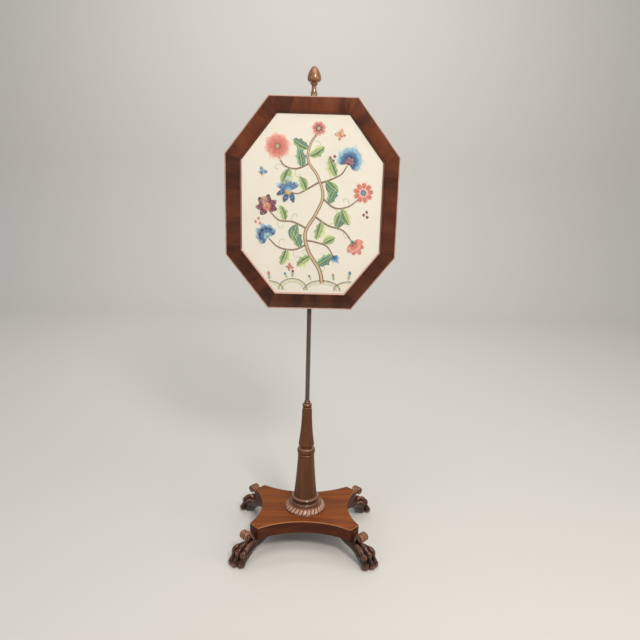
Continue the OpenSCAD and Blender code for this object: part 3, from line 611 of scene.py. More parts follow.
def leaf(work, base, turn, length, width, wools, bend=0.0, lobes=0, lift=0.05):
    """Two halves of slanted satin stitch from a midrib, one wool inside and one outside on each."""
    upper, lower, vein = wools
    way = cmath.rect(1, turn)
    slant = 0.22

    def half(t):
        wave = 1 - 0.32 * abs(math.cos(math.pi * lobes * t)) if lobes else 1
        return width / 2 * math.sin(math.pi * t ** 0.85) ** 0.75 * wave

    def rib(t):
        return base + way * complex(t * length, bend * length * t * t)

    count = int(length / work.thread)
    for i in range(count):
        t = (i + 0.5) / count
        for side, pair in ((1, upper), (-1, lower)):
            out = half(min(0.99, t + slant * half(t) / length))
            edge = rib(t) + way * complex(0.55 * out, side * out)
            cut = rib(t) + 0.55 * (edge - rib(t)) if out > 4 else edge
            lay(work, rib(t), cut, pair[0], lift=lift)
            if out > 4:
                lay(work, cut, edge, pair[1], lift=lift)
    if vein:
        stem(work, [rib(i / 8) for i in range(9)], [vein], lift=0.35)


def smooth_path(points, step=1.5):
    """Catmull-Rom points along a path, about step millimetres apart."""
    ends = [2 * points[0] - points[1], *points, 2 * points[-1] - points[-2]]
    path = []
    for a, b, c, d in zip(ends, ends[1:], ends[2:], ends[3:]):
        n = max(2, int(abs(c - b) / step))
        for i in range(n):
            t = i / n
            path.append(0.5 * (2 * b + (c - a) * t + (2 * a - 5 * b + 4 * c - d) * t ** 2
                               + (3 * b - a - 3 * c + d) * t ** 3))
    return path + [points[-1]]


def stem(work, points, wools, taper=1.0, length=5.0, lift=0.0):
    """Stem stitch along a path: a row for each wool, side by side, which draw in by the taper."""
    path = smooth_path(points)
    walked = [0.0]
    for a, b in zip(path, path[1:]):
        walked.append(walked[-1] + abs(b - a))

    def at(s, side):
        i = max(j for j in range(len(path) - 1) if walked[j] <= min(s, walked[-1] - 1e-6))
        along = path[i + 1] - path[i]
        f = (s - walked[i]) / max(1e-6, abs(along))
        return path[i] + f * along + 1j * side * along / abs(along)

    for r, wool in enumerate(wools):
        s = length * 0.3 * (r % 2)
        while s < walked[-1] - 1:
            share = s / walked[-1]
            side = (r - (len(wools) - 1) / 2) * work.thread * 0.95 * (1 - (1 - taper) * share)
            end = min(walked[-1], s + length)
            lay(work, at(s, side - 0.2), at(end, side + 0.2), wool, lift=lift + 0.02 * r)
            s += length * 0.72


def knots(work, centre, radius, wool, gap=2.1, lift=0.35):
    """French knots packed in a disc."""
    count = max(1, int((radius / gap) ** 2 * 3.4))
    for i in range(count):
        p = centre + cmath.rect(radius * math.sqrt((i + 0.5) / count), 2.39996 * i)
        lay(work, p - 0.95, p + 0.95, wool, 1.5, lift)


def disc(work, centre, radius, wool, turn=0.6, lift=0.1):
    """Satin stitch across a disc."""
    way = cmath.rect(1, turn)
    rows = max(2, round(2 * radius / work.thread))
    for i in range(rows):
        y = ((i + 0.5) / rows * 2 - 1) * radius
        x = math.sqrt(max(0.1, radius * radius - y * y))
        lay(work, centre + way * complex(-x, y), centre + way * complex(x, y), wool, lift=lift)


def trellis(work, centre, radius, ground, bars, wool, gap=4.6):
    """A filled disc under crossed threads, with a knot where they cross."""
    disc(work, centre, radius, ground, 0.0)
    for turn in (math.pi / 4, -math.pi / 4):
        way = cmath.rect(1, turn)
        reach = int(radius / gap)
        for i in range(-reach, reach + 1):
            y = i * gap
            x = math.sqrt(max(0.0, radius * radius - y * y))
            lay(work, centre + way * complex(-x, y), centre + way * complex(x, y), bars, 0.7, 0.45)
    for i in range(-3, 4):
        for j in range(-3, 4):
            p = gap * complex(i, j) * cmath.rect(1, math.pi / 4)
            if abs(p) < radius - 1:
                lay(work, centre + p - 0.6, centre + p + 0.6, wool, 1.0, 0.7)


def ring(work, centre, count, inner, length, width, wools, start=0.0, **shape):
    """Petals all round a centre."""
    for i in range(count):
        turn = start + 2 * math.pi * i / count
        petal(work, centre + cmath.rect(inner, turn), turn, length, width, wools, **shape)


def fan(work, base, turn, spread, count, length, width, wools, **shape):
    """Petals in a fan, the middle ones longest and laid last."""
    order = sorted(range(count), key=lambda i: -abs(i - (count - 1) / 2))
    for i in order:
        off = i / (count - 1) - 0.5
        petal(work, base, turn + spread * off, length * (1 - 0.5 * abs(off)), width, wools,
              lift=0.1 + 0.06 * (count - abs(i - (count - 1) / 2)) / count, **shape)


def tendril(work, start, turn, size, wool, hand=1):
    """A curl that leaves along a line and winds in."""
    points = []
    p, a = start, turn
    for i in range(14):
        points.append(p)
        a += hand * (0.08 + 0.045 * i)
        p += cmath.rect(size * (1 - 0.045 * i) / 6, a)
    stem(work, points, [wool], length=4.0)


def butterfly(work, centre, turn, size, wools):
    """Four wings, a body and two feelers."""
    for side in (1, -1):
        petal(work, centre, turn + side * 0.75, size, 0.62 * size, wools[:2], lift=0.2)
        petal(work, centre, turn + side * 2.1, 0.72 * size, 0.5 * size, wools[1:3], lift=0.15)
        stem(work, [centre + cmath.rect(0.3 * size, turn), centre + cmath.rect(0.8 * size, turn + side * 0.25)],
             [wools[-1]], length=3.0)
    stem(work, [centre - cmath.rect(0.35 * size, turn), centre + cmath.rect(0.35 * size, turn)],
         [wools[-1], wools[-1]], lift=0.6)


def hillock(work, left, right, floor, height, wools, gap=3.4):
    """A mound of arcs in stem stitch, one inside the other."""
    for k, wool in enumerate(wools):
        inset = k * gap
        span = (right - left) / 2 - inset
        middle = (left + right) / 2
        arc = [complex(middle + span * math.cos(a), floor + (height - inset) * math.sin(a))
               for a in (math.pi * (1 - i / 10) for i in range(11))]
        stem(work, arc, [wool, wool] if k == 0 else [wool])


def sprig(work, base, turn, size, wool, tip, pairs=3):
    """A straight shoot with paired leaves and a knot or bud at its end."""
    way = cmath.rect(1, turn)
    stem(work, [base, base + way * size], [wool])
    for i in range(pairs):
        p = base + way * size * (0.25 + 0.25 * i)
        for side in (1, -1):
            lay(work, p, p + cmath.rect(0.3 * size, turn + side * 0.8), wool, 1.3)
    disc(work, base + way * size * 1.08, 0.13 * size + 1.2, tip)


def design():
    """The whole needlework: a flowering tree with curling boughs over small hills."""
    work = Stitching()
    wood = ["bark", "bark", "tan", "tan", "straw", "tan", "straw", "tan", "tan", "bark", "bark"]
    trunk = [36 - 222j, 26 - 180j, -6 - 128j, -16 - 74j, 12 - 22j, 32 + 30j, 16 + 84j, -12 + 128j, -6 + 172j, 12 + 200j]
    greens = (("leaf", "lime"), ("moss", "leaf"), "straw")
    deep = (("moss", "leaf"), ("teal", "moss"), "lime")
    cool = (("teal", "leaf"), ("moss", "teal"), "lime")

    for left, right, height, wools in ((-168, -78, 26, ("bark", "leaf", "lime", "straw")),
                                       (70, 160, 28, ("bark", "moss", "lime", "straw")),
                                       (-92, -8, 34, ("bark", "leaf", "lime", "tan")),
                                       (-18, 90, 30, ("bark", "moss", "lime", "tan"))):
        hillock(work, left, right, -243, height, wools)
    for x, y, turn, size, wool, tip in ((-118, -216, 1.7, 22, "moss", "coral"), (-132, -220, 2.1, 17, "leaf", "salmon"),
                                        (-52, -208, 1.5, 20, "teal", "maroon"), (-66, -210, 2.0, 16, "leaf", "blue"),
                                        (112, -214, 1.4, 24, "moss", "blue"), (126, -219, 1.0, 18, "leaf", "gold"),
                                        (70, -214, 1.7, 18, "teal", "coral"), (4, -214, 2.0, 14, "leaf", "maroon")):
        sprig(work, complex(x, y), turn, size, wool, tip)

    boughs = {
        "bell": [-12 - 108j, -48 - 124j, -92 - 118j, -122 - 92j],
        "fruit": [-13 - 62j, -52 - 44j, -92 - 40j, -122 - 12j],
        "tulip": [8 - 26j, 48 - 52j, 92 - 66j, 118 - 96j],
        "daisy": [31 + 24j, 66 - 2j, 104 + 2j, 136 + 26j],
        "carnation": [24 + 66j, 52 + 76j, 82 + 92j, 98 + 116j],
        "peony": [-8 + 120j, -44 + 104j, -78 + 112j, -96 + 138j],
        "iris": [22 + 70j, -8 + 52j, -38 + 36j, -62 + 40j],
        "bud": [-20 - 96j, 10 - 100j, 46 - 112j, 66 - 140j]}
    for path in boughs.values():
        stem(work, path, ["bark", "bark", "tan", "bark", "bark"], taper=0.5)
    stem(work, trunk, wood, taper=0.45)
    for t, turn, hand in ((-46 - 122j, 4.2, 1), (-90 - 116j, 1.9, -1), (-54 - 44j, 1.9, -1), (-94 - 40j, 4.4, 1),
                          (50 - 54j, 0.9, -1), (94 - 68j, 4.6, 1), (68 - 2j, 4.9, 1), (106 + 4j, 1.4, 1),
                          (54 + 78j, 2.2, -1), (-46 + 104j, 4.3, 1), (-80 + 112j, 2.6, 1), (-2 + 178j, 0.4, -1),
                          (-12 + 148j, 3.4, 1), (26 - 190j, 0.2, 1), (-2 - 140j, 3.3, -1)):
        tendril(work, t, turn, 26, "leaf", hand)

    leaf(work, -30 - 118j, 1.9, 58, 38, deep, 0.15, 3)
    leaf(work, -68 - 122j, 4.5, 50, 35, greens, -0.15, 3)
    leaf(work, -40 - 50j, 4.3, 48, 32, cool, 0.12)
    leaf(work, -76 - 42j, 1.7, 45, 32, greens, 0.2, 3)
    leaf(work, 30 - 40j, 4.6, 55, 38, greens, -0.15, 3)
    leaf(work, 72 - 60j, 1.2, 50, 35, deep, 0.1)
    leaf(work, 50 + 8j, 1.3, 50, 35, cool, -0.15, 3)
    leaf(work, 88 - 2j, 5.0, 52, 38, greens, 0.15, 3)
    leaf(work, 40 + 72j, 5.4, 45, 32, deep, 0.15)
    leaf(work, 68 + 84j, 2.1, 55, 38, greens, -0.12, 3)
    leaf(work, -30 + 108j, 1.6, 52, 35, cool, 0.15, 3)
    leaf(work, -62 + 106j, 4.4, 48, 35, greens, -0.15)
    leaf(work, -10 + 140j, 0.4, 50, 35, greens, 0.15, 3)
    leaf(work, -10 + 160j, 2.8, 50, 35, deep, -0.15, 3)
    leaf(work, 18 - 168j, 0.5, 55, 38, cool, 0.12, 3)
    leaf(work, 2 - 144j, 3.6, 50, 35, greens, 0.15, 3)
    leaf(work, -18 + 44j, 1.9, 42, 29, greens, 0.1)
    leaf(work, 34 - 104j, 0.6, 40, 29, greens, -0.12)

    # Carnation, upper right: a fan of fringed blue petals over a coral cup
    fan(work, 102 + 124j, 1.2, 3.3, 7, 52, 25, ["navy", "navy", "blue", "sky", "mist"], ragged=0.14)
    fan(work, 100 + 118j, 1.2, 1.6, 4, 24, 12, ["maroon", "coral", "salmon"])
    # Peony, upper left: two rings of petals round knots
    ring(work, -98 + 164j, 8, 9, 30, 24, ["coral", "coral", "salmon", "blush"], 0.2)
    ring(work, -98 + 164j, 6, 4, 17, 14, ["maroon", "coral", "salmon"], 0.5, lift=0.4)
    knots(work, -98 + 164j, 7, "gold", lift=0.6)
    # Ripe fruit, left: maroon scales that open over a trellis
    fan(work, -126 - 4j, 1.9, 4.2, 6, 38, 21, ["coral", "maroon", "maroon"], full=1.0)
    trellis(work, -134 + 14j, 13, "straw", "maroon", "coral")
    fan(work, -126 - 6j, 1.9, 2.4, 4, 15, 9, ["moss", "lime"])
    # Daisy, right: eight coral petals with a blue eye
    ring(work, 146 + 42j, 9, 7, 25, 14, ["salmon", "coral", "coral", "blush"], 0.1)
    disc(work, 146 + 42j, 8, "navy", lift=0.3)
    knots(work, 146 + 42j, 5, "sky", lift=0.6)
    # Bell, lower left: hanging blue petals
    fan(work, -124 - 88j, 2.3, 2.9, 6, 44, 20, ["sky", "blue", "navy", "sky"], ragged=0.1)
    fan(work, -122 - 90j, 2.3, 1.4, 3, 18, 10, ["moss", "lime"])
    # Iris, middle left: three standing and three falling petals
    for turn, bend in ((1.6, 0.0), (2.4, 0.2), (0.9, -0.2)):
        petal(work, -66 + 42j, turn, 42, 19, ["sky", "blue", "blue", "mist"], bend)
    for turn, bend in ((3.1, 0.35), (4.3, 0.0), (5.5, -0.35)):
        petal(work, -66 + 42j, turn, 33, 17, ["gold", "navy", "blue", "navy"], bend, lift=0.3)
    # Tulip, lower right: coral and maroon
    fan(work, 120 - 100j, -0.9, 2.0, 5, 42, 19, ["maroon", "coral", "salmon", "coral"])
    fan(work, 118 - 96j, -0.9, 1.6, 3, 16, 9, ["teal", "lime"])
    # Bud and berries
    fan(work, 66 - 140j, -0.9, 1.2, 3, 26, 12, ["navy", "blue", "sky"])
    for p in (-150 - 36j, -158 - 46j, -146 - 50j, 58 + 128j, 50 + 136j, 62 + 140j, 150 - 20j, 158 - 12j, 160 - 26j):
        disc(work, p, 4.2, "coral" if p.real < 0 else "maroon")
        knots(work, p, 1.5, "blush", lift=0.5)
    # Topmost blossom
    ring(work, 16 + 214j, 7, 4, 19, 13, ["maroon", "coral", "blush"], 0.3)
    knots(work, 16 + 214j, 4.5, "gold", lift=0.5)
    butterfly(work, 78 + 196j, 2.2, 19, ["gold", "salmon", "coral", "bark"])
    butterfly(work, -142 + 92j, 0.9, 17, ["sky", "blue", "straw", "bark"])
    butterfly(work, -62 - 176j, 0.7, 15, ["gold", "coral", "maroon", "bark"])
    return work


def stitch_form():
    """One raised strand, 1 long, 1 wide and 1 high: closed, with ends that dip into the linen."""
    verts = []
    for x, share in ((-0.5, 0.3), (-0.36, 0.9), (0.0, 1.0), (0.36, 0.9), (0.5, 0.3)):
        for k in range(5):
            a = math.pi * k / 4
            verts.append((x, -share * math.sin(a), 0.5 * share * math.cos(a)))
    form = mesh_object("stitch_form", verts, ring_faces(5, 5))
    face_outwards(form)
    smooth(form)
    return form


def stitching_tree(form, wool):
    """Lays the stitch form on every point, turned and sized by the point's attributes."""
    tree = bpy.data.node_groups.new("Crewel stitching", "GeometryNodeTree")
    face = tree.interface
    face.new_socket("Geometry", in_out="OUTPUT", socket_type="NodeSocketGeometry")
    for name, kind in (("Geometry", "NodeSocketGeometry"), ("Strand", "NodeSocketObject"),
                       ("Unevenness", "NodeSocketFloat"), ("Seed", "NodeSocketInt"),
                       ("Wool", "NodeSocketMaterial")):
        face.new_socket(name, in_out="INPUT", socket_type=kind)
    given = add(tree, "NodeGroupInput").outputs
    strand = add(tree, "GeometryNodeObjectInfo", {"Object": given["Strand"]}, transform_space="ORIGINAL")
    turn = add(tree, "GeometryNodeInputNamedAttribute", {"Name": "turn"}, data_type="FLOAT").outputs[0]
    size = add(tree, "GeometryNodeInputNamedAttribute", {"Name": "size"}, data_type="FLOAT_VECTOR").outputs[0]
    less = add(tree, "ShaderNodeMath", {0: given["Unevenness"], 1: -1.0}, operation="MULTIPLY").outputs[0]
    waver = add(tree, "FunctionNodeRandomValue", {2: less, 3: given["Unevenness"], "Seed": given["Seed"]},
                data_type="FLOAT").outputs[1]
    angle = add(tree, "ShaderNodeMath", {0: waver, 1: turn}, operation="SUBTRACT").outputs[0]
    turned = add(tree, "ShaderNodeCombineXYZ", {"Y": angle}).outputs[0]
    plump = add(tree, "ShaderNodeMath", {0: waver, 1: 2.0, 2: 1.0}, operation="MULTIPLY_ADD").outputs[0]
    thick = add(tree, "ShaderNodeCombineXYZ", {"X": 1.0, "Y": plump, "Z": plump}).outputs[0]
    scale = add(tree, "ShaderNodeVectorMath", {0: size, 1: thick}, operation="MULTIPLY").outputs[0]
    laid = add(tree, "GeometryNodeInstanceOnPoints", {
        "Points": given["Geometry"], "Instance": strand.outputs["Geometry"], "Rotation": turned, "Scale": scale})
    real = add(tree, "GeometryNodeRealizeInstances", {"Geometry": laid.outputs[0]})
    dyed = add(tree, "GeometryNodeSetMaterial", {"Geometry": real.outputs[0], "Material": given["Wool"]})
    add(tree, "NodeGroupOutput", {"Geometry": dyed.outputs[0]})
    values = {"Strand": form, "Unevenness": 0.06, "Seed": sizes().seed, "Wool": wool}
    return tree, values


def generated(piece, name, tree, values):
    """Runs a node tree on a piece with its inputs set, and gives the result as a plain mesh object."""
    modifier = piece.modifiers.new("nodes", "NODES")
    modifier.node_group = tree
    for item in tree.interface.items_tree:
        if item.in_out == "INPUT" and item.name in values:
            modifier[item.identifier] = values[item.name]
    return applied(piece, name, [])


def stitches(name, rows, tree, values):
    """Turns rows of design() into points with attributes, and those into a piece of real stitches."""
    rise = sizes().thread_rise
    points = []
    for a, b, wool, width, lift in rows:
        middle = (a + b) / 2
        points.append((PANEL_X + middle.real * MM, CLOTH_FRONT - lift * MM + 0.0001, PANEL_Z + middle.imag * MM))
    piece = mesh_object(name + "_points", points, [])
    turn = piece.data.attributes.new("turn", "FLOAT", "POINT")
    turn.data.foreach_set("value", [cmath.phase(b - a) for a, b, _, _, _ in rows])
    size = piece.data.attributes.new("size", "FLOAT_VECTOR", "POINT")
    size.data.foreach_set("vector", [v for a, b, _, width, _ in rows
                                     for v in (abs(b - a) * MM, rise * width, 1.12 * width * MM)])
    thread = piece.data.attributes.new("thread", "FLOAT_COLOR", "POINT")
    dyes = {wool: rgba(linear(code)) for wool, code in PALETTE.items()}
    thread.data.foreach_set("color", [v for _, _, wool, _, _ in rows for v in dyes[wool]])
    return generated(piece, name, tree, values)


def linen_ground():
    """The linen, stretched flat in the rebate: an octagon cut to a fine grid, with its real thickness."""
    low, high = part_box("needlework")
    outline = octagon_points(low, high)
    form = bmesh.new()
    form.faces.new([form.verts.new(p) for p in outline])
    for axis, count in ((Vector((1, 0, 0)), 41), (Vector((0, 0, 1)), 51)):
        span = (high - low).dot(axis)
        for i in range(1, count):
            at = low + axis * span * i / count
            bmesh.ops.bisect_plane(form, geom=form.verts[:] + form.edges[:] + form.faces[:],
                                   plane_co=at, plane_no=axis)
    for v in form.verts:
        # The stretched cloth still ripples a tenth of a millimetre where the wool draws it in
        v.co.y += 0.00006 * math.sin(61 * v.co.x) * math.sin(47 * v.co.z + 1)
    data = bpy.data.meshes.new("linen_sheet")
    form.to_mesh(data)
    form.free()
    sheet = bpy.data.objects.new("linen_sheet", data)
    bpy.context.scene.collection.objects.link(sheet)
    ground = applied(sheet, "needlework_linen",
                     [("SOLIDIFY", {"thickness": 0.00068, "offset": 0.0, "use_even_offset": True})])
    face_outwards(ground)
    return ground, polygon_area(outline)


def octagon_points(low, high):
    """Corners of the cloth, read from the frame's own node."""
    near = 0.0002
    mesh = NODES["needlework"].data
    top = sorted(v.co.x for v in mesh.vertices if high.z - v.co.z < near)
    side = sorted(v.co.z for v in mesh.vertices if high.x - v.co.x < near)
    y = (low.y + high.y) / 2
    x0, x1, z0, z1 = top[0], top[-1], side[0], side[-1]
    return [Vector(p) for p in ((x0, y, high.z), (x1, y, high.z), (high.x, y, z1), (high.x, y, z0),
                                (x1, y, low.z), (x0, y, low.z), (low.x, y, z0), (low.x, y, z1))]


def polygon_area(points):
    return abs(sum(a.x * b.z - b.x * a.z for a, b in zip(points, points[1:] + points[:1]))) / 2


class FIRESCREEN_OT_needlework(bpy.types.Operator):
    """Stretch the linen and lay the wool stitches on it"""
    bl_idname = "firescreen.needlework"
    bl_label = "Needlework"
    bl_options = {"REGISTER", "UNDO"}

    def execute(self, context):
        ground, area = linen_ground()
        ground.data.materials.append(twill_linen())
        form = stitch_form()
        tree, values = stitching_tree(form, crewel_wool())
        rows = design()
        families = {"stitches_stems": ("bark", "tan", "straw", "gold"),
                    "stitches_leaves": ("moss", "leaf", "lime", "teal"),
                    "stitches_flowers": tuple(PALETTE)}
        for name, wools in families.items():
            mine = [row for row in rows if row[2] in wools]
            rows = [row for row in rows if row[2] not in wools]
            piece = stitches(name, mine, tree, values)
            smooth(piece)
            finish_piece(piece, "screen", "needlework")
        bpy.data.objects.remove(form)
        finish_piece(ground, "screen", "needlework", "needlework")
        return {"FINISHED"}


# Carved feet, in a foot's own frame in millimetres: s outwards from the platform's canted face, w across
# the foot and z up from the floor

# Leg and paw without the toes: distance out, height of the underside and of the top, half width
LEG_RINGS = ((-56, 64, 72.9, 8.5), (-44, 57, 72.9, 15.3), (-28, 49.6, 72.9, 17), (-12, 44.5, 72.9, 17),
             (2, 39.6, 72.9, 17), (14, 31.4, 71.5, 17), (22, 22.5, 70, 17), (30, 15, 69, 17),
             (38, 9.5, 65, 18), (46, 4, 57.5, 19.5), (53, -1, 48, 20), (59, -3, 37, 18), (64, -3, 22, 15),
             (67, -3, 10, 10))
LEG_SQUARENESS = 0.62

# Three toes from ankle to tip, and a ridge on the outer flank: distance out, distance across, height, radius
TOES = (((22, 11, 62, 4), (32, 13.5, 59.5, 5), (41, 16.3, 56, 6), (47, 17.8, 54.5, 7), (53, 19, 53.5, 7.8),
         (60, 20, 45.5, 8.8), (64, 20.3, 32, 6), (68.5, 20.5, 20.5, 7.8), (72, 20.5, 10.8, 10.4)),
        ((22, 0, 66, 5), (33, 0.4, 67, 6), (44, 0.8, 61, 6.6), (53, 1.5, 53.5, 7), (61, 2.5, 45, 8.8),
         (64, 3, 32, 5.8), (69, 3.5, 20.5, 7.6), (73, 3.8, 11, 10.6)),
        ((22, -12, 65, 5), (32, -14.5, 64, 6), (42, -16.5, 58.5, 6.4), (50, -16.5, 51, 6.6), (57, -15.5, 42.5, 9),
         (57.5, -14.6, 31, 6.4), (59, -14, 22, 8.4), (60.8, -13.8, 12.8, 12.4)),
        ((20, 15, 56, 4), (34, 17, 55.5, 4.6), (45, 18.6, 49.5, 5), (55, 19.6, 39, 5)))

# The back feet's outer tendon rises higher under the scroll than the front feet's
BACK_RISE, BACK_RISE_PLACE, BACK_RISE_REACH = 12, 38, 16

ROLL_CENTRE = (34, 93)
ROLL_RADIUS = 11
ROLL_IN = 3.5
ROLL_FROM, ROLL_TO = 125, -150
STRIP_START = (2, 66)
STRIP_BEND = 16
STRIP_T = 8
SCROLL_HALF = 15.5
REED_DEPTH = 3.4


def platform_corner():
    """The middle of the platform's canted face, in millimetres, in the quarter where x and y are positive."""
    low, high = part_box("platform")
    near = 0.0002
    side = max(v.co.y for v in NODES["platform"].data.vertices if high.x - v.co.x < near)
    half_cut = (high.y - side) / 2
    return (high.x - half_cut) / MM, (high.y - half_cut) / MM


def curved(points, steps):
    """A smooth line through points of any number of values, with steps places to each span."""
    line = []
    last = len(points) - 1
    for i in range(last):
        before, a, b, after = (points[max(0, min(last, j))] for j in range(i - 1, i + 3))
        for k in range(steps):
            t = k / steps
            line.append([q + t * ((r - p) / 2 + t * (p - 2.5 * q + 2 * r - u / 2 + t * (1.5 * (q - r) + (u - p) / 2)))
                         for p, q, r, u in zip(before, a, b, after)])
    return line + [list(points[-1])]


def add_loft(form, rings):
    """Adds a closed skin over rings that have as many points each."""
    made = [[form.verts.new(p) for p in ring] for ring in rings]
    for near, far in zip(made, made[1:]):
        for j in range(len(near)):
            k = (j + 1) % len(near)
            form.faces.new((near[j], near[k], far[k], far[j]))
    form.faces.new(made[0][::-1])
    form.faces.new(made[-1])


def add_ball(form, place, radii):
    bmesh.ops.create_icosphere(form, subdivisions=3, radius=1.0,
                               matrix=Matrix.Translation(place) @ Matrix.Diagonal((*radii, 1)))


def leg_ring(s, under, top, half):
    """A ring with squared corners across the foot."""
    ring = []
    for i in range(32):
        a = math.tau * i / 32
        c, d = (math.copysign(abs(v) ** LEG_SQUARENESS, v) for v in (math.cos(a), math.sin(a)))
        ring.append((s, half * c, (under + top) / 2 + (top - under) / 2 * d))
    return ring


def add_toe(form, line):
    """One toe: a tendon down from the ankle, a knuckle, a narrow joint and a round tip."""
    for s, w, z, r in curved(line, 8):
        add_ball(form, (s, w, z), (r, r, r))


def strip_ring(place, along, half, thickness, reeds):
    """A ring of the scroll's strip, square to its way: reeds outside, flat inside."""
    length = math.hypot(*along)
    across = (-along[1] / length, along[0] / length)
    steps = 10 * reeds
    ring = []
    for j in range(steps + 1):
        w = half * (1 - 2 * j / steps)
        crown = 1.2 * (1 - (w / half) ** 2)
        rise = thickness / 2 - REED_DEPTH * (1 - abs(math.sin(math.pi * reeds * j / steps)) ** 0.8) + crown
        ring.append((place[0] + rise * across[0], w, place[1] + rise * across[1]))
    for w in (-half, half):
        ring.append((place[0] - thickness / 2 * across[0], w, place[1] - thickness / 2 * across[1]))
    return ring


def add_scroll(form):
    """The scroll: a reeded strip climbs behind the leg and rolls over outwards round a small barrel."""
    reeds = sizes().reeds
    first = math.radians(ROLL_FROM)
    entry = [c + ROLL_RADIUS * v for c, v in zip(ROLL_CENTRE, (math.cos(first), math.sin(first)))]
    guide = (entry[0] - STRIP_BEND * math.sin(first), entry[1] + STRIP_BEND * math.cos(first))
    rings = []
    for i in range(12):
        t = i / 12
        place = [(1 - t) ** 2 * a + 2 * t * (1 - t) * b + t * t * c for a, b, c in zip(STRIP_START, guide, entry)]
        along = [(1 - t) * (b - a) + t * (c - b) for a, b, c in zip(STRIP_START, guide, entry)]
        rings.append(strip_ring(place, along, SCROLL_HALF * (0.56 + 0.44 * t), STRIP_T, reeds))
    for i in range(33):
        t = i / 32
        a = math.radians(ROLL_FROM + (ROLL_TO - ROLL_FROM) * t)
        radius = ROLL_RADIUS - ROLL_IN * t
        place = (ROLL_CENTRE[0] + radius * math.cos(a), ROLL_CENTRE[1] + radius * math.sin(a))
        rings.append(strip_ring(place, (math.sin(a), -math.cos(a)), SCROLL_HALF, STRIP_T - ROLL_IN * t, reeds))
    add_loft(form, rings)
    barrel = []
    for w, radius in ((-17, 2.5), (-16.4, 4.5), (-15, 6.2), (15, 6.2), (16.4, 4.5), (17, 2.5)):
        barrel.append([(ROLL_CENTRE[0] + radius * math.cos(math.tau * i / 24), w,
                        ROLL_CENTRE[1] + radius * math.sin(math.tau * i / 24)) for i in range(24)])
    add_loft(form, barrel)


def carve_foot(rise):
    """One foot in its own frame: all its forms melted into one skin, cut flat below, and softened.

    The outer tendon stands higher by the rise."""
    form = bmesh.new()
    add_loft(form, [leg_ring(*ring) for ring in curved(LEG_RINGS, 3)])
    outer, *others = TOES
    add_toe(form, [(s, w, z + rise * max(0, 1 - ((s - BACK_RISE_PLACE) / BACK_RISE_REACH) ** 2), r)
                   for s, w, z, r in outer])
    for line in others:
        add_toe(form, line)
    for side in (-1, 1):
        for s, w, z, r in curved(((-8, 8.5, 56, 7), (8, 10.5, 51, 8.5), (26, 10, 44, 9), (42, 11, 34, 9)), 6):
            add_ball(form, (s, side * w, z), (r, r, r))
    add_scroll(form)
    bmesh.ops.recalc_face_normals(form, faces=form.faces)
    data = bpy.data.meshes.new("foot_forms")
    form.to_mesh(data)
    form.free()
    rough = bpy.data.objects.new("foot_forms", data)
    bpy.context.scene.collection.objects.link(rough)
    grain = sizes().carving_grain / MM
    carved = applied(rough, "foot_carved", [
        ("REMESH", {"mode": "VOXEL", "voxel_size": grain, "adaptivity": 0.0}),
        ("SMOOTH", {"factor": 0.5, "iterations": 3})])
    for v in carved.data.vertices:
        v.co.z = max(v.co.z, 0.0)
    mark_prominence(carved, 0.75, 24)
    return carved


def place_foot(carved, name, mirror, corner):
    """A copy of the carved foot, at its own corner of the platform."""
    piece = bpy.data.objects.new(name + "_carved", carved.data.copy())
    bpy.context.scene.collection.objects.link(piece)
    sx, sy = mirror
    for v in piece.data.vertices:
        s, w, z = v.co
        v.co = (sx * (corner[0] + (s + w) / math.sqrt(2)) * MM, sy * (corner[1] + (s - w) / math.sqrt(2)) * MM, z * MM)
    face_outwards(piece)
    smooth(piece)
    return piece


class FIRESCREEN_OT_feet(bpy.types.Operator):
    """Carve the four paw feet with their reeded scrolls"""
    bl_idname = "firescreen.feet"
    bl_label = "Carved feet"
    bl_options = {"REGISTER", "UNDO"}

    def execute(self, context):
        front, back = carve_foot(0), carve_foot(BACK_RISE)
        corner = platform_corner()
        c = colours()
        wood = carved_wood("Carved mahogany, rubbed polish", c.carved_light, c.carved_dark, c.carved_wear_and_highlight)
        for name, mirror in FEET.items():
            piece = place_foot(front if mirror[1] < 0 else back, name, mirror, corner)
            piece.data.materials.clear()
            piece.data.materials.append(wood)
            finish_piece(piece, "stand", "carved_mahogany", name)
        for carved in (front, back):
            bpy.data.objects.remove(carved)
        return {"FINISHED"}


# Carved collar, in millimetres: distance from the pole's axis and height above the platform

COLLAR_GROUND = ((16.3, 0), (65.5, 0), (65.5, 2), (62.8, 5.5), (56.5, 12.2), (51.5, 16.4), (50.6, 18), (16.3, 18))
LOBE_FROM, LOBE_TO = (64.6, 2.6), (51.6, 16.6)
LOBE_HALF = (6.9, 5.3)
LOBE_SLANT = 0.3


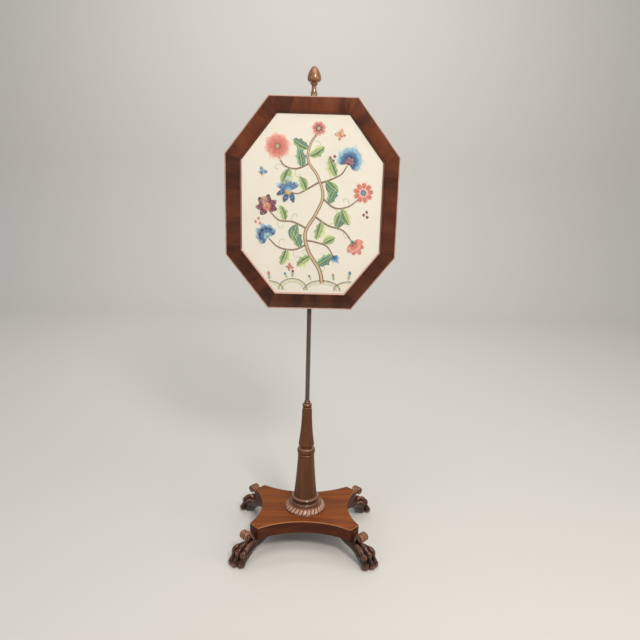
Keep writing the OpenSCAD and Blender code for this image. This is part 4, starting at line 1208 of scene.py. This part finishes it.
def lobe_form():
    """One lobe of the collar: a plump slanted leaf, round at its lower end, with a vein down its middle."""
    low, high = Vector(LOBE_FROM), Vector(LOBE_TO)
    run = high - low
    rise = sizes().lobe_rise / MM
    out = Vector((run.y, -run.x)).normalized()
    rings, prominence = [], []
    for i in range(13):
        t = i / 12
        end = math.sqrt(max(0.04, 1 - (max(0.0, 0.3 - t) / 0.3) ** 2)) * (1 - 0.25 * max(0.0, t - 0.8) / 0.2)
        half = end * (LOBE_HALF[0] + (LOBE_HALF[1] - LOBE_HALF[0]) * t)
        ring = []
        for j in range(15):
            v = -1 + j / 7
            swell = math.sqrt(max(0.0, 1 - v * v)) - 0.34 * math.exp(-(v / 0.2) ** 2)
            at = low + run * t + out * rise * end * swell
            ring.append((at.x * MM, (v * half + LOBE_SLANT * run.length * (t - 0.5)) * MM, at.y * MM))
            # The swell of each lobe stands out most, so the material paints it pale, partly as rubbing and partly as a
            # painted highlight
            prominence.append(0.25 + 0.75 * max(0.0, swell) * end)
        for v in (1, -1):
            at = low + run * t - out * 2
            ring.append((at.x * MM, (v * 0.9 * half + LOBE_SLANT * run.length * (t - 0.5)) * MM, at.y * MM))
            prominence.append(0.0)
        rings.append(ring)
    form = bmesh.new()
    add_loft(form, rings)
    data = bpy.data.meshes.new("lobe_form")
    form.to_mesh(data)
    form.free()
    made = bpy.data.objects.new("lobe_form", data)
    bpy.context.scene.collection.objects.link(made)
    data.attributes.new("prominence", "FLOAT", "POINT").data.foreach_set("value", prominence)
    face_outwards(made)
    smooth(made)
    return made


def collar_ground():
    """The collar's plain core, turned to a sloping profile round the column's tenon."""
    steps = 96
    rings = []
    for i in range(steps):
        a = math.tau * i / steps
        rings.append([(r * MM * math.cos(a), r * MM * math.sin(a), z * MM) for r, z in COLLAR_GROUND])
    form = bmesh.new()
    made = [[form.verts.new(p) for p in ring] for ring in rings]
    for near, far in zip(made, made[1:] + made[:1]):
        for j in range(len(near)):
            k = (j + 1) % len(near)
            form.faces.new((near[j], near[k], far[k], far[j]))
    bmesh.ops.recalc_face_normals(form, faces=form.faces)
    data = bpy.data.meshes.new("collar_ground")
    form.to_mesh(data)
    form.free()
    piece = bpy.data.objects.new("collar_ground", data)
    bpy.context.scene.collection.objects.link(piece)
    # The core is set low, at 0.1, so the material darkens it between the lobes; its top and bottom rings are set to 0.6
    prominence = data.attributes.new("prominence", "FLOAT", "POINT")
    prominence.data.foreach_set("value", [0.6 if z in (0, 18) else 0.1 for _ in range(steps) for r, z in COLLAR_GROUND])
    return piece


def gadroon_tree(form, wood):
    """Sets a lobe form evenly round the axis and joins the lobes to the ground."""
    tree = bpy.data.node_groups.new("Gadroons round a collar", "GeometryNodeTree")
    face = tree.interface
    face.new_socket("Geometry", in_out="OUTPUT", socket_type="NodeSocketGeometry")
    for name, kind in (("Geometry", "NodeSocketGeometry"), ("Lobe", "NodeSocketObject"),
                       ("Count", "NodeSocketInt"), ("Wood", "NodeSocketMaterial")):
        face.new_socket(name, in_out="INPUT", socket_type=kind)
    given = add(tree, "NodeGroupInput").outputs
    lobe = add(tree, "GeometryNodeObjectInfo", {"Object": given["Lobe"]}, transform_space="ORIGINAL")
    places = add(tree, "GeometryNodePoints", {"Count": given["Count"]})
    index = add(tree, "GeometryNodeInputIndex").outputs[0]
    step = add(tree, "ShaderNodeMath", {0: math.tau, 1: given["Count"]}, operation="DIVIDE").outputs[0]
    angle = add(tree, "ShaderNodeMath", {0: index, 1: step}, operation="MULTIPLY").outputs[0]
    turned = add(tree, "ShaderNodeCombineXYZ", {"Z": angle}).outputs[0]
    laid = add(tree, "GeometryNodeInstanceOnPoints", {
        "Points": places.outputs[0], "Instance": lobe.outputs["Geometry"], "Rotation": turned})
    real = add(tree, "GeometryNodeRealizeInstances", {"Geometry": laid.outputs[0]})
    whole = add(tree, "GeometryNodeJoinGeometry")
    tree.links.new(given["Geometry"], whole.inputs[0])
    tree.links.new(real.outputs[0], whole.inputs[0])
    dressed = add(tree, "GeometryNodeSetMaterial", {"Geometry": whole.outputs[0], "Material": given["Wood"]})
    add(tree, "NodeGroupOutput", {"Geometry": dressed.outputs[0]})
    return tree, {"Lobe": form, "Count": sizes().lobes, "Wood": wood}


class FIRESCREEN_OT_collar(bpy.types.Operator):
    """Carve the gadrooned collar between platform and column"""
    bl_idname = "firescreen.collar"
    bl_label = "Carved collar"
    bl_options = {"REGISTER", "UNDO"}

    def execute(self, context):
        c = colours()
        wood = carved_wood("Carved mahogany collar, rubbed polish", c.collar_light, c.collar_dark, c.collar_wear_and_highlight,
                           0.4)
        form = lobe_form()
        tree, values = gadroon_tree(form, wood)
        piece = generated(collar_ground(), "carved_collar", tree, values)
        bpy.data.objects.remove(form)
        low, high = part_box("collar_ring")
        for v in piece.data.vertices:
            v.co.z += low.z
        finish_piece(piece, "stand", "carved_mahogany", "collar_ring")
        return {"FINISHED"}


# Plain finishes on the frame's own pieces

def rail_way(name):
    """The way a rail's outward side faces, as x and z, and its sight edge's distance from the panel's middle."""
    low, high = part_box(name)
    middle = (low + high) / 2
    x, z = (0 if abs(v) < 0.01 else math.copysign(1, v) for v in (middle.x - PANEL_X, middle.z - PANEL_Z))
    if x and z:
        return x * SLANT[0], z * SLANT[1], SLANT[2] * MM
    return x, z, (SIGHT_W if x else SIGHT_H) * MM


def rail_veneer(number, name):
    """Cross-banded veneer, straight out from the panel's middle, and a pale highlight painted along the sight edge in
    the bead's light colour.
    """
    c = colours()
    x, z, sight = rail_way(name)
    # The upper rails' veneer is painted paler than the lower ones' as if lit from above, and the highlight painted on
    # their sight edge is weaker.
    painted_light_factor = 1 + 0.3 * z
    edge_highlight = min(1.0, max(0.0, 0.3 - 1.2 * z))
    material, tree, shader = new_material(f"Cross-banded mahogany veneer {number}")
    body, ribbon, pores = wood_colour(
        tree, (0, math.atan2(z, x), 0), (0.37 * number, 0.11 * number, 0.23 * number),
        tuple(v * painted_light_factor for v in c.veneer_light), tuple(v * painted_light_factor for v in c.veneer_dark), 0.25)
    place = add(tree, "ShaderNodeTexCoord").outputs["Object"]
    place = add(tree, "ShaderNodeVectorMath", {0: place, 1: (PANEL_X, 0, PANEL_Z)}, operation="SUBTRACT").outputs[0]
    out = add(tree, "ShaderNodeVectorMath", {0: place, 1: (x, 0, z)}, operation="DOT_PRODUCT").outputs["Value"]
    # Painted highlight: a band at the sight edge mixed to the bead's light colour, strongest on the lower rails that
    # face up
    wear_and_highlight = ramp(tree, out, sight + SIGHT_HIGHLIGHT, sight + 0.6 * SIGHT_HIGHLIGHT)
    tree.links.new(mix(tree, scaled(tree, wear_and_highlight, edge_highlight), body, c.bead_light), shader.inputs["Base Color"])
    polish(tree, shader, (ribbon, pores), roughness=(0.22, 0.34), coat=0.4, coat_roughness=0.1, gloss=0.25)
    return material


class FIRESCREEN_OT_joinery(bpy.types.Operator):
    """Finish the platform, the turned pieces and the wood that is hidden inside"""
    bl_idname = "firescreen.joinery"
    bl_label = "Joinery and turning"
    bl_options = {"REGISTER", "UNDO"}

    def execute(self, context):
        c = colours()
        upright = (0, math.pi / 2, 0)
        dress("platform", platform_wood())
        dress("column", turned_wood())
        pole = mahogany("Turned mahogany pole, dark polish", c.pole_light, c.pole_dark, upright,
                        roughness=(0.3, 0.45), coat=0.6, coat_roughness=0.18)
        dress("pole_lower", pole)
        dress("pole_upper", pole)
        dress("finial", mahogany("Turned mahogany finial, high polish", linear("#9c6631"), linear("#6c3e19"),
                                 upright, (0, 0, 0.1), roughness=(0.15, 0.25), coat=1.0, coat_roughness=0.06))
        plain = secondary_wood()
        for name in ("foot_dowels", "column_wedge", "mitre_keys", "stretcher_board"):
            dress(name, plain)
        dress("back_board", mahogany("Thin mahogany back board, oiled", linear("#7d4a2b"), linear("#4d2a17"),
                                     upright, (0.2, 0, 0), roughness=(0.5, 0.65), coat=0.05))
        return {"FINISHED"}


class FIRESCREEN_OT_frame(bpy.types.Operator):
    """Finish the frame: cross-banded veneer on each rail, and a bead round the edge coloured pale as a painted
    highlight
    """
    bl_idname = "firescreen.frame"
    bl_label = "Panel frame"
    bl_options = {"REGISTER", "UNDO"}

    def execute(self, context):
        c = colours()
        for number, name in enumerate(RAILS):
            dress(name, rail_veneer(number, name))
        # The bead's pale colours are a painted highlight
        dress("edge_beads", mahogany("Half-round mahogany bead, rubbed", c.bead_light, c.bead_dark,
                                     roughness=(0.25, 0.35), coat=0.5))
        return {"FINISHED"}


class FIRESCREEN_OT_brass(bpy.types.Operator):
    """Finish the brass fittings, screws, pins, stud and clamp"""
    bl_idname = "firescreen.brass"
    bl_label = "Brass"
    bl_options = {"REGISTER", "UNDO"}

    def execute(self, context):
        brass = old_brass()
        for name in ("upper_fitting", "lower_fitting", "fitting_screws", "clamp_pad", "clamp_screw",
                     "pole_stud", "finial_pin", "back_board_pins"):
            dress(name, brass)
        return {"FINISHED"}


PANEL_CLASSES = (FIRESCREEN_OT_stage, FIRESCREEN_OT_joinery, FIRESCREEN_OT_feet, FIRESCREEN_OT_collar,
                 FIRESCREEN_OT_frame, FIRESCREEN_OT_needlework, FIRESCREEN_OT_brass)


class FIRESCREEN_PT_panel(bpy.types.Panel):
    """Lists the steps that dress the fire screen, in order"""
    bl_label = "Fire Screen"
    bl_space_type = "VIEW_3D"
    bl_region_type = "UI"
    bl_category = "Fire Screen"

    def draw(self, context):
        for step in PANEL_CLASSES:
            self.layout.operator(step.bl_idname)
        for group in (sizes(), colours()):
            box = self.layout.box()
            for name in group.__annotations__:
                box.prop(group, name)


CLASSES = (FireScreenSizes, FireScreenColours, *PANEL_CLASSES, FIRESCREEN_PT_panel)


def register():
    for cls in CLASSES:
        bpy.utils.register_class(cls)
    bpy.types.Scene.fire_screen_sizes = bpy.props.PointerProperty(type=FireScreenSizes)
    bpy.types.Scene.fire_screen_colours = bpy.props.PointerProperty(type=FireScreenColours)


def unregister():
    del bpy.types.Scene.fire_screen_colours
    del bpy.types.Scene.fire_screen_sizes
    for cls in reversed(CLASSES):
        bpy.utils.unregister_class(cls)


def plain(box):
    return [[float(v) for v in corner] for corner in box]


def main():
    register()
    bpy.ops.firescreen.stage()
    bpy.ops.firescreen.joinery()
    bpy.ops.firescreen.feet()
    bpy.ops.firescreen.collar()
    bpy.ops.firescreen.frame()
    bpy.ops.firescreen.needlework()
    bpy.ops.firescreen.brass()


if __name__ == "__main__":
    main()
